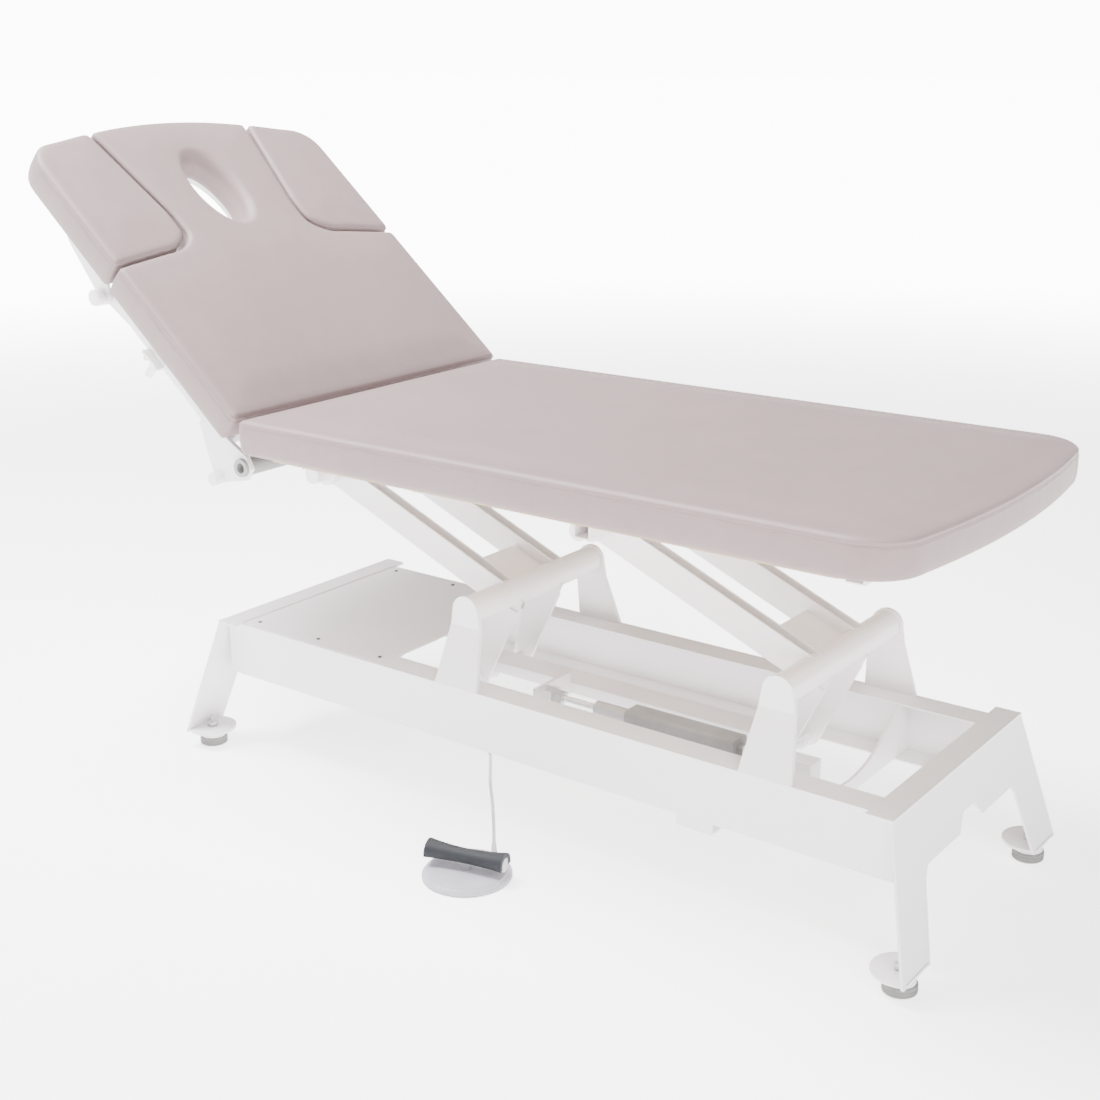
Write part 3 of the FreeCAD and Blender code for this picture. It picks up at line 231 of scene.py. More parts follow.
@dataclass(frozen=True)
class Leatherette:
    """Soft coated fabric: fine pebble grain with painted shade in its valleys, faint tone changes and a dull
    sheen.
    """

    name: str = "leatherette"
    colour: Colour = (0.222, 0.163, 0.160)
    grain_scale: float = 520.0
    grain_depth: float = 0.00012

    def build(self) -> bpy.types.Material:
        """Makes the material."""
        g = Graph(self.name)
        drift = g.noise(5.0, 2.0)
        cloudy = g.noise(38.0, 4.0)
        lighter = tuple(min(1.0, c * 1.05) for c in self.colour)
        darker = tuple(c * 0.955 for c in self.colour)
        base = g.blend(darker, lighter, (drift * 0.6 + cloudy * 0.4).step(0.3, 0.7))
        pebble = g.cells(self.grain_scale).step(0.0, 0.28)
        fine = g.noise(1900.0, 2.0)
        # Painted shade: the grain's valleys are darkened in the colour; the same mask also makes them
        # rougher.
        valley_shade = (1.0 - pebble) * 0.12
        tone = g.blend(base, darker, valley_shade)
        height = pebble * 0.75 + fine * 0.25 + g.noise(90.0, 2.0) * 0.35
        normal = g.bump(height, self.grain_depth, 0.8)
        rough = 0.43 + valley_shade + cloudy * 0.08
        return g.surface(Base_Color=tone, Roughness=rough, Normal=normal, Specular_IOR_Level=0.42,
                         Sheen_Weight=0.08, Sheen_Roughness=0.5)


@dataclass(frozen=True)
class PowderCoat:
    """Off-white powder coat: fine orange peel and softly rounded edges."""

    name: str = "powder_coat"
    colour: Colour = (0.840, 0.805, 0.812)
    edge_radius: float = 0.0016

    def build(self) -> bpy.types.Material:
        """Makes the material."""
        g = Graph(self.name)
        cloud = g.noise(9.0, 3.0)
        scuffs = g.noise(130.0, 6.0, 0.7, g.stretched((0.35, 1.0, 1.0))).step(0.62, 0.78)
        # The colour darkens within 0.16 m of the floor.
        low_darkening = (1.0 - g.axis(2).step(0.0, 0.16)) * 0.25
        light = tuple(min(1.0, c * 1.02) for c in self.colour)
        dull = tuple(c * 0.95 for c in self.colour)
        base = g.blend(light, dull, cloud * 0.5 + scuffs * 0.2 + low_darkening)
        peel = g.noise(1300.0, 2.0) * 0.7 + g.noise(420.0, 2.0) * 0.3
        normal = g.bump(peel, 0.00009, 0.7, g.soft_edges(self.edge_radius))
        rough = 0.36 + scuffs * 0.1 + cloud * 0.08
        return g.surface(Base_Color=base, Roughness=rough, Normal=normal, Specular_IOR_Level=0.5)


@dataclass(frozen=True)
class Moulded:
    """Moulded plastic or rubber with a fine spark-eroded texture."""

    name: str
    colour: Colour
    rough: float = 0.45
    texture_scale: float = 1500.0
    texture_depth: float = 0.00006
    edge_radius: float = 0.0008

    def build(self) -> bpy.types.Material:
        """Makes the material."""
        g = Graph(self.name)
        cloud = g.noise(24.0, 4.0)
        lighter = tuple(min(1.0, c * 1.06 + 0.002) for c in self.colour)
        darker = tuple(c * 0.93 for c in self.colour)
        base = g.blend(darker, lighter, cloud.step(0.3, 0.7))
        height = g.noise(self.texture_scale, 2.0) * 0.6 + g.cells(self.texture_scale * 0.6) * 0.4
        normal = g.bump(height, self.texture_depth, 0.8, g.soft_edges(self.edge_radius))
        return g.surface(Base_Color=base, Roughness=cloud * 0.1 + self.rough, Normal=normal,
                         Specular_IOR_Level=0.45)


class Drawn(Enum):
    """The way in which a metal was worked, as the stretch of its marks."""

    ALONG_X = (2.0, 60.0, 60.0)
    ALONG_Y = (60.0, 2.0, 60.0)
    ROUND_Z = (60.0, 60.0, 400.0)


@dataclass(frozen=True)
class Metal:
    """Bare or plated metal with drawing marks and faint smudges."""

    name: str
    colour: Colour
    rough: float
    marks: Drawn = Drawn.ALONG_X

    def build(self) -> bpy.types.Material:
        """Makes the material."""
        g = Graph(self.name)
        marks = g.noise(10.0, 4.0, 0.6, g.stretched(self.marks.value))
        smudge = g.noise(30.0, 3.0).step(0.45, 0.75)
        darker = tuple(c * 0.85 for c in self.colour)
        base = g.blend(self.colour, darker, marks * 0.4 + smudge * 0.2)
        rough = marks * 0.12 + smudge * 0.08 + self.rough
        normal = g.bump(marks, 0.00005, 0.5, g.soft_edges(0.0005))
        return g.surface(Base_Color=base, Roughness=rough, Metallic=1.0, Normal=normal)


@dataclass(frozen=True)
class Plywood:
    """Birch board: long fibres on the faces and thin glue lines on the edges."""

    name: str = "birch_board"
    face: Colour = (0.52, 0.40, 0.26)
    core: Colour = (0.30, 0.20, 0.12)
    plies: float = 520.0

    def build(self) -> bpy.types.Material:
        """Makes the material."""
        g = Graph(self.name)
        fibre = g.noise(9.0, 6.0, 0.6, g.stretched((1.0, 14.0, 14.0)))
        layer = g.value("ShaderNodeMath", {"operation": "SINE"}, {0: g.axis(2) * (2.0 * self.plies)})
        tone = g.blend(self.face, self.core, fibre.step(0.35, 0.8) * 0.5 + layer.step(0.6, 1.0) * 0.3)
        normal = g.bump(fibre, 0.0002, 0.5, g.soft_edges(0.0006))
        return g.surface(Base_Color=tone, Roughness=fibre * 0.2 + 0.55, Normal=normal)


@dataclass(frozen=True)
class Thread:
    """Twisted sewing thread, with painted shade where its twist dips."""

    name: str = "sewing_thread"
    colour: Colour = (0.31, 0.238, 0.234)

    def build(self) -> bpy.types.Material:
        """Makes the material."""
        g = Graph(self.name)
        twist = g.noise(2600.0, 2.0)
        darker = tuple(c * 0.8 for c in self.colour)
        # Painted shade: the thread is darker where the twist's bump is low.
        tone = g.blend(darker, self.colour, twist.step(0.35, 0.65))
        return g.surface(Base_Color=tone, Roughness=twist * 0.15 + 0.55,
                         Normal=g.bump(twist, 0.0001, 0.8))


class Finishes:
    """Every finish of the bed, made once."""

    def __init__(self) -> None:
        """Builds the materials."""
        self.leatherette = Leatherette().build()
        self.paint = PowderCoat().build()
        self.board = Plywood().build()
        self.thread = Thread().build()
        self.white = Moulded("white_plastic", (0.82, 0.81, 0.80), 0.34).build()
        self.rubber = Moulded("grey_rubber", (0.20, 0.193, 0.183), 0.62, 900.0, 0.0001).build()
        self.lilac = Moulded("switch_grey", (0.40, 0.388, 0.428), 0.42).build()
        self.charcoal = Moulded("rocker_charcoal", (0.009, 0.011, 0.016), 0.62, 1100.0, 0.0001).build()
        self.grey = Moulded("actuator_grey", (0.30, 0.295, 0.29), 0.42).build()
        self.dark = Moulded("dark_box", (0.06, 0.06, 0.063), 0.5).build()
        self.cord = Moulded("cord_jacket", (0.56, 0.55, 0.545), 0.5, 2200.0, 0.00004).build()
        self.steel = Metal("plain_steel", (0.56, 0.56, 0.57), 0.32, Drawn.ALONG_Y).build()
        self.chrome = Metal("chrome_rod", (0.80, 0.80, 0.81), 0.08, Drawn.ALONG_X).build()
        self.stud = Metal("zinc_stud", (0.62, 0.62, 0.64), 0.28, Drawn.ROUND_Z).build()


# Mesh making

def make_piece(name: str, points: Array, faces: List[List[int]], material: bpy.types.Material,
               smooth: bool = True) -> bpy.types.Object:
    """Puts arrays of points and faces into a new object at the origin.

    Args:
        name: the object's name.
        points: n x 3 places in metres.
        faces: corner lists.
        material: its finish.
        smooth: whether the faces are shaded smooth.

    Returns:
        The new object.
    """
    mesh = bpy.data.meshes.new(name)
    mesh.from_pydata(points.tolist(), [], faces)
    mesh.polygons.foreach_set("use_smooth", np.full(len(mesh.polygons), smooth))
    mesh.materials.append(material)
    mesh.update()
    piece = bpy.data.objects.new(name, mesh)
    bpy.context.scene.collection.objects.link(piece)
    return piece


def grid_faces(rows: int, columns: int, start: int = 0, closed: bool = True) -> List[List[int]]:
    """Quads between neighbouring rows of a grid whose columns may close on themselves."""
    last = columns if closed else columns - 1
    i, j = np.meshgrid(np.arange(rows - 1), np.arange(last), indexing="ij")
    k = (j + 1) % columns
    quads = np.stack([i * columns + j, i * columns + k, (i + 1) * columns + k, (i + 1) * columns + j], -1)
    return (quads.reshape(-1, 4) + start).tolist()


def lathe(name: str, profile: Array, material: bpy.types.Material, centre: Point, axis: str = "z",
          segments: int = 48, ripple: Optional[Callable[[Array, Array], Array]] = None,
          ) -> bpy.types.Object:
    """Turns a profile round an axis and closes both ends with a pole.

    The point of row i and angle t lies at r(i) * ripple(t, h(i)) from the axis, at height h(i).

    Args:
        name: the object's name.
        profile: k x 2 array of radius and height.
        material: its finish.
        centre: the axis' foot.
        axis: "z", or "y" or "-y" for a knob that points that way.
        segments: points round the axis.
        ripple: a factor on the radius for ribs, flats and threads.

    Returns:
        The new object.
    """
    turn = np.linspace(0.0, 2.0 * math.pi, segments, endpoint=False)
    angle, height = np.meshgrid(turn, profile[:, 1])
    radius = np.repeat(profile[:, :1], segments, axis=1)
    if ripple is not None:
        radius = radius * ripple(angle, height)
    ring = np.stack([radius * np.cos(angle), radius * np.sin(angle), height], -1).reshape(-1, 3)
    poles = np.array([[0.0, 0.0, profile[0, 1]], [0.0, 0.0, profile[-1, 1]]])
    points = np.concatenate([ring, poles])
    rows = len(profile)
    faces = grid_faces(rows, segments)
    j = np.arange(segments)
    k = (j + 1) % segments
    low = rows * segments
    faces += np.stack([np.full(segments, low), k, j], -1).tolist()
    top = (rows - 1) * segments
    faces += np.stack([np.full(segments, low + 1), top + j, top + k], -1).tolist()
    turned = points if axis == "z" else along_y(points, axis == "-y")
    return make_piece(name, turned + np.array(centre), faces, material)


def along_y(points: Array, towards_near: bool) -> Array:
    """Turns points built along +Z so that they point along +Y, or along -Y."""
    x, y, z = points.T
    if towards_near:
        return np.stack([x, -z, y], -1)
    return np.stack([x, z, -y], -1)


def smooth_loop(corners: Array, spacing: float, softness: float) -> Array:
    """Evenly spaced points along a closed outline whose corners are rounded.

    The outline is resampled densely, each coordinate is blurred along the arc length by a
    Gaussian, and the result is resampled at the spacing asked for.

    Args:
        corners: n x 2 outline, anticlockwise.
        spacing: distance between the points that come back.
        softness: the blur's standard deviation.

    Returns:
        m x 2 points, anticlockwise.
    """
    dense = resample(corners, 0.001)
    count = len(dense)
    step = 0.001
    lag = np.minimum(np.arange(count), count - np.arange(count)) * step
    kernel = np.exp(-0.5 * (lag / softness) ** 2)
    kernel /= kernel.sum()
    soft = np.fft.ifft(np.fft.fft(dense, axis=0) * np.fft.fft(kernel)[:, None], axis=0).real
    return resample(soft, spacing)


def resample(loop: Array, spacing: float) -> Array:
    """Points at an even spacing along a closed polyline."""
    closed = np.concatenate([loop, loop[:1]])
    length = np.concatenate([[0.0], np.cumsum(np.linalg.norm(np.diff(closed, axis=0), axis=1))])
    count = max(8, int(round(length[-1] / spacing)))
    place = np.linspace(0.0, length[-1], count, endpoint=False)
    return np.stack([np.interp(place, length, closed[:, 0]), np.interp(place, length, closed[:, 1])], -1)


def outward(loop: Array) -> Array:
    """Unit normals of an anticlockwise closed loop, pointing out of it."""
    along = np.roll(loop, -1, axis=0) - np.roll(loop, 1, axis=0)
    along /= np.linalg.norm(along, axis=1)[:, None]
    return np.stack([along[:, 1], -along[:, 0]], -1)


def arc(start: Sequence[float], middle: Sequence[float], end: Sequence[float], count: int = 24) -> Array:
    """Points of the circular arc through three points, without its first point."""
    a, b, c = (np.array(p, float) for p in (start, middle, end))
    d = 2.0 * (a[0] * (b[1] - c[1]) + b[0] * (c[1] - a[1]) + c[0] * (a[1] - b[1]))
    squares = np.array([a @ a, b @ b, c @ c])
    centre = np.array([
        squares @ np.array([b[1] - c[1], c[1] - a[1], a[1] - b[1]]),
        squares @ np.array([c[0] - b[0], a[0] - c[0], b[0] - a[0]]),
    ]) / d
    angles = [math.atan2(*(p - centre)[::-1]) for p in (a, b, c)]
    sweep = (angles[2] - angles[0]) % (2 * math.pi)
    if (angles[1] - angles[0]) % (2 * math.pi) > sweep:
        sweep -= 2 * math.pi
    turn = angles[0] + sweep * np.linspace(0.0, 1.0, count + 1)[1:]
    radius = np.linalg.norm(a - centre)
    return centre + radius * np.stack([np.cos(turn), np.sin(turn)], -1)


def inside(points: Array, loop: Array) -> Array:
    """Which points lie inside a closed loop, by counting its crossings of a ray along +X."""
    x, y = points[:, :1], points[:, 1:]
    x0, y0 = loop.T
    x1, y1 = np.roll(loop, -1, axis=0).T
    spans = (y0 > y) != (y1 > y)
    cut = x0 + (y - y0) * (x1 - x0) / np.where(y1 == y0, 1e-12, y1 - y0)
    return (spans & (x < cut)).sum(1) % 2 == 1


def nearest(points: Array, loop: Array) -> Array:
    """Distance from each point to the nearest point of a loop."""
    gaps = points[:, None, :] - loop[None, :, :]
    return np.sqrt((gaps ** 2).sum(2).min(1))


def fill(rings: List[Array], inner: Array) -> Array:
    """Triangles that fill the space between an outer ring, an optional hole and inner points.

    Args:
        rings: the outer loop and perhaps the hole's loop.
        inner: free points between them.

    Returns:
        t x 3 indices into the rings' points followed by the inner points, anticlockwise.
    """
    points = np.concatenate(rings + [inner])
    edges: List[Tuple[int, int]] = []
    start = 0
    for ring in rings:
        j = np.arange(len(ring))
        edges += np.stack([start + j, start + (j + 1) % len(ring)], -1).tolist()
        start += len(ring)
    found = delaunay_2d_cdt([Vector(p) for p in points.tolist()], edges, [], 1, 1e-7)
    triangles = np.array(found[2])
    middle = points[triangles].mean(1)
    keep = inside(middle, rings[0])
    for hole in rings[1:]:
        keep &= ~inside(middle, hole)
    triangles = triangles[keep]
    a, b, c = (points[triangles[:, i]] for i in range(3))
    turn = (b - a)[:, 0] * (c - a)[:, 1] - (b - a)[:, 1] * (c - a)[:, 0]
    triangles[turn < 0] = triangles[turn < 0][:, ::-1]
    return triangles


# Cushions

# Section of a cushion's edge from its underside up to its top: inset and height, in metres.
EDGE = np.array([
    (0.0092, -0.0600), (0.0080, -0.0600), (0.0062, -0.0594), (0.0044, -0.0578), (0.0028, -0.0552),
    (0.0016, -0.0510), (0.0007, -0.0450), (0.0002, -0.0380), (0.0000, -0.0310), (0.0002, -0.0240),
    (0.0005, -0.0160), (0.0008, -0.0130), (0.0012, -0.0112), (0.0018, -0.0104), (0.0013, -0.0096),
    (0.0010, -0.0086), (0.0011, -0.0074), (0.0016, -0.0060), (0.0025, -0.0047), (0.0037, -0.0034),
    (0.0052, -0.0023), (0.0070, -0.0013), (0.0092, -0.0006),
])
SEAM_HEIGHT = -0.0104
BAND_HEIGHT = -0.0330


@dataclass
class Cushion:
    """A foam cushion in a sewn cover: crowned top, side band pulled in at the seam and underneath."""

    name: str
    node: str
    body: str
    outline: Array
    finishes: Finishes
    hole: Optional[Array] = None
    place: Callable[[Array], Array] = field(default=lambda points: points)
    crown: float = 0.006
    spacing: float = 0.006
    grid: float = 0.011
    softness: float = 0.0068
    seed: int = 3
    roll: float = 0.024

    def build(self) -> List[bpy.types.Object]:
        """Makes the cover and its two rows of stitches.

        Returns:
            The cover and the stitches.
        """
        ring = smooth_loop(self.outline, self.spacing, self.softness)
        normal = outward(ring)
        rows = self._edge_rows(ring, normal)
        parts = [rows.reshape(-1, 3)]
        faces = grid_faces(len(EDGE), len(ring))
        top_rings = [rows[-1][:, :2]]
        low_rings = [rows[0][:, :2]]
        top_index = [np.arange(len(ring)) + (len(EDGE) - 1) * len(ring)]
        low_index = [np.arange(len(ring))]
        used = rows[..., 0].size
        if self.hole is not None:
            well = self._hole_rows()
            faces += grid_faces(len(well), well.shape[1], used)
            parts.append(well.reshape(-1, 3))
            top_rings.append(well[0][:, :2])
            low_rings.append(well[-1][:, :2])
            top_index.append(np.arange(well.shape[1]) + used)
            low_index.append(np.arange(well.shape[1]) + used + (len(well) - 1) * well.shape[1])
            used += well[..., 0].size
        inner = self._inner(top_rings)
        parts.append(np.column_stack([inner, self._crown(inner, ring)]))
        top_index.append(np.arange(len(inner)) + used)
        faces += np.concatenate(top_index)[fill(top_rings, inner)].tolist()
        under = fill(low_rings, np.zeros((0, 2)))
        faces += np.concatenate(low_index)[under][:, ::-1].tolist()
        points = np.concatenate(parts)
        cover = make_piece(self.name, self.place(points), faces, self.finishes.leatherette)
        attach(cover, self.body)
        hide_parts(self.node)
        pieces = [cover]
        for row, label in ((SEAM_HEIGHT + 0.0042, "_stitch_upper"), (SEAM_HEIGHT - 0.0046, "_stitch_lower")):
            pieces.append(self._stitches(ring, normal, row, self.name + label))
        LOG.info("%s: %d points, %d faces", self.name, len(points), len(faces))
        return pieces

    def _edge_rows(self, ring: Array, normal: Array) -> Array:
        """Carries the edge's section round the outline, with faint puckers in the side band."""
        inset, height = EDGE.T
        rng = np.random.default_rng(self.seed)
        count = len(ring)
        waves = np.zeros(count)
        turn = np.linspace(0.0, 2 * math.pi, count, endpoint=False)
        length = count * self.spacing
        for wave in (0.021, 0.034, 0.055, 0.12, 0.21):
            cycles = max(1, int(round(length / wave)))
            waves += rng.uniform(0.5, 1.0) * np.cos(cycles * turn + rng.uniform(0, 6.28))
        band = np.exp(-0.5 * ((height - BAND_HEIGHT) / 0.010) ** 2)
        near_seam = np.exp(-0.5 * ((height - SEAM_HEIGHT + 0.006) / 0.004) ** 2)
        pucker = np.outer(band * 0.00022 + near_seam * 0.00014, waves)
        push = -inset[:, None] + pucker
        flat = ring[None] + normal[None] * push[..., None]
        return np.concatenate([flat, np.repeat(height[:, None, None], count, 1)], -1)

    def _hole_rows(self) -> Array:
        """The rolled wall of the face opening, from its dished rim down to the underside."""
        ring = smooth_loop(self.hole, self.spacing, 0.002)
        normal = outward(ring)
        t = np.linspace(0.0, 1.0, 9) * math.pi / 2
        roll = [(self.roll * (1 - math.sin(a)), -self.roll * (1 - math.cos(a)) * 1.1) for a in t]
        wall = [(0.0008, -0.034), (0.0014, -0.042), (0.0008, -0.052), (0.0, -CUSHION)]
        section = np.array(roll + wall)
        flat = ring[None] + normal[None] * section[:, 0][:, None, None]
        heights = np.repeat(section[:, 1][:, None, None], len(ring), 1)
        return np.concatenate([flat, heights], -1)

    def _inner(self, rings: List[Array]) -> Array:
        """Free points of the top face on a triangular grid, clear of its rings."""
        low, high = rings[0].min(0), rings[0].max(0)
        rise = self.grid * math.sqrt(0.75)
        x = np.arange(low[0], high[0], self.grid)
        y = np.arange(low[1], high[1], rise)
        gx, gy = np.meshgrid(x, y)
        gx[1::2] += self.grid / 2
        spots = np.column_stack([gx.ravel(), gy.ravel()])
        spots = spots[inside(spots, rings[0])]
        spots = spots[nearest(spots, rings[0]) > self.grid * 0.6]
        for hole in rings[1:]:
            spots = spots[~inside(spots, hole)]
            spots = spots[nearest(spots, hole) > self.grid * 0.6]
        return spots

    def _crown(self, inner: Array, ring: Array) -> Array:
        """Height of the top face: the simulated swelling, eased in from the edge and the hole.

        Args:
            inner: the face's free points.
            ring: the outline.

        Returns:
            One height for each point.
        """
        edge = nearest(inner, ring)
        ease = np.clip((edge - 0.009) / 0.085, 0.0, 1.0)
        height = self.crown * np.sin(ease * math.pi / 2) ** 1.5
        rise = Swelling(self.name, ring, self.hole).rise(inner)
        mean = max(float(np.percentile(rise, 80)), 1e-5)
        height *= 0.55 + 0.45 * np.clip(rise / mean, 0.0, 1.25)
        if self.hole is not None:
            rim = nearest(inner, smooth_loop(self.hole, self.spacing, 0.002))
            height *= np.clip((rim - self.roll) / 0.06, 0.0, 1.0) ** 0.8
        return height

    def _stitches(self, ring: Array, normal: Array, height: float, name: str) -> bpy.types.Object:
        """A row of short thread lengths laid along the seam.

        Each stitch is an arched tube: its cross-section turns round a path that rises
        as the cosine of the distance from the stitch's middle.

        Args:
            ring: the cushion's outline.
            normal: its outward normals.
            height: where the row lies.
            name: the object's name.

        Returns:
            The stitches as one object.
        """
        inset = np.interp(height, EDGE[12:, 1], EDGE[12:, 0]) if height > SEAM_HEIGHT else \
            np.interp(height, EDGE[:13, 1], EDGE[:13, 0])
        path = resample(ring - normal * inset, 0.0052)
        out = outward(path)
        along = np.stack([-out[:, 1], out[:, 0]], -1)
        u = np.array([-1.0, -0.55, 0.0, 0.55, 1.0])
        width = np.array([0.35, 0.95, 1.0, 0.95, 0.35]) * 0.00042
        lift = np.cos(u * math.pi / 2) * 0.00042 - 0.00005
        turn = np.linspace(0, 2 * math.pi, 5, endpoint=False)
        offset_out = lift[:, None] + width[:, None] * np.cos(turn)
        offset_up = -width[:, None] * np.sin(turn)
        offset_along = np.repeat(u[:, None] * 0.0019, 5, 1)
        xy = (path[:, None, None, :] + out[:, None, None, :] * offset_out[None, ..., None]
              + along[:, None, None, :] * offset_along[None, ..., None])
        z = np.broadcast_to(height + offset_up, xy.shape[:3])
        points = np.concatenate([xy, z[..., None]], -1).reshape(-1, 3)
        one = np.array(grid_faces(5, 5))
        each = 25 * np.arange(len(path))[:, None, None]
        faces = (one[None] + each).reshape(-1, 4).tolist()
        caps = np.array([[4, 3, 2, 1, 0], [20, 21, 22, 23, 24]])
        faces += (caps[None] + each).reshape(-1, 5).tolist()
        made = make_piece(name, self.place(points), faces, self.finishes.thread)
        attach(made, self.body)
        return made


class Swelling:
    """How a cushion's cover swells under the foam's pressure, from a short cloth simulation."""

    VOXEL = 0.014
    FRAMES = 20

    def __init__(self, name: str, ring: Array, hole: Optional[Array]) -> None:
        """Simulates a coarse copy of the cushion with its underside held.

        Args:
            name: the cushion's name.
            ring: its outline.
            hole: the opening's outline, if it has one.
        """
        coarse = resample(ring - outward(ring) * 0.004, 0.012)
        rings = [coarse] if hole is None else [coarse, resample(hole, 0.012)]
        flat = np.concatenate(rings)
        top = fill(rings, np.zeros((0, 2)))
        count = len(flat)
        points = np.concatenate([np.column_stack([flat, np.full(count, h)]) for h in (-CUSHION, 0.0)])
        faces = top[:, ::-1].tolist() + (top + count).tolist()
        start = 0
        for number, loop in enumerate(rings):
            j = np.arange(len(loop)) + start
            k = np.roll(j, -1)
            wall = np.stack([j, k, k + count, j + count], -1)
            faces += (wall if number == 0 else wall[:, ::-1]).tolist()
            start += len(loop)
        block = make_piece(name + "_swell", points, faces, None)
        self.before, self.after = self._simulate(block)

    def _simulate(self, block: bpy.types.Object) -> Tuple[Array, Array]:
        """Runs the cloth and returns its points before and after."""
        scene = bpy.context.scene
        remesh = block.modifiers.new("even", "REMESH")
        remesh.mode = "VOXEL"
        remesh.voxel_size = self.VOXEL
        graph = bpy.context.evaluated_depsgraph_get()
        even = bpy.data.meshes.new_from_object(block.evaluated_get(graph))
        block.modifiers.clear()
        block.data = even
        rest = self._points(even)
        held = block.vertex_groups.new(name="held")
        held.add(np.flatnonzero(rest[:, 2] < -CUSHION * 0.8).tolist(), 1.0, "REPLACE")
        cloth = block.modifiers.new("cover", "CLOTH")
        cloth.settings.quality = 5
        cloth.settings.use_pressure = True
        cloth.settings.uniform_pressure_force = 4.0
        cloth.settings.effector_weights.gravity = 0.0
        cloth.settings.vertex_group_mass = "held"
        cloth.point_cache.frame_start = 1
        cloth.point_cache.frame_end = self.FRAMES
        for frame in range(1, self.FRAMES + 1):
            scene.frame_set(frame)
        graph = bpy.context.evaluated_depsgraph_get()
        swollen = self._points(block.evaluated_get(graph).to_mesh())
        bpy.data.objects.remove(block)
        scene.frame_set(1)
        return rest, swollen

    @staticmethod
    def _points(mesh: bpy.types.Mesh) -> Array:
        """A mesh's points as an array."""
        flat = np.zeros(len(mesh.vertices) * 3, np.float32)
        mesh.vertices.foreach_get("co", flat)
        return flat.reshape(-1, 3).astype(float)

    def rise(self, spots: Array) -> Array:
        """The swelling above given spots: a Gaussian-weighted mean of the nearby cloth's rise.

        Args:
            spots: n x 2 places.

        Returns:
            n heights, softly capped.
        """
        face = self.before[:, 2] > -0.004
        where, lift = self.before[face, :2], (self.after - self.before)[face, 2]
        lift = 0.010 * np.tanh(lift / 0.010)
        out = np.zeros(len(spots))
        for part in np.array_split(np.arange(len(spots)), max(1, len(spots) // 800)):
            gap = ((spots[part][:, None] - where[None]) ** 2).sum(2)
            weight = np.exp(-gap / (2 * 0.016 ** 2)) + 1e-9
            out[part] = (weight * lift).sum(1) / weight.sum(1)
        return out


def on_back(points: Array) -> Array:
    """Carries points of the flat back section, x along it towards the foot end, to its tilt."""
    c, s = math.cos(BACK_TILT), math.sin(BACK_TILT)
    x, y, z = points.T
    return np.stack([LEG_HEAD + x * c + z * s, y, TOP_HEIGHT - x * s + z * c], -1)


def on_leg(points: Array) -> Array:
    """Lifts points measured from the leg section's top face to their height."""
    return points + np.array([0.0, 0.0, TOP_HEIGHT])


def mirrored(outline: Array) -> Array:
    """An outline on the other long side, still anticlockwise."""
    return (outline * np.array([1.0, -1.0]))[::-1]


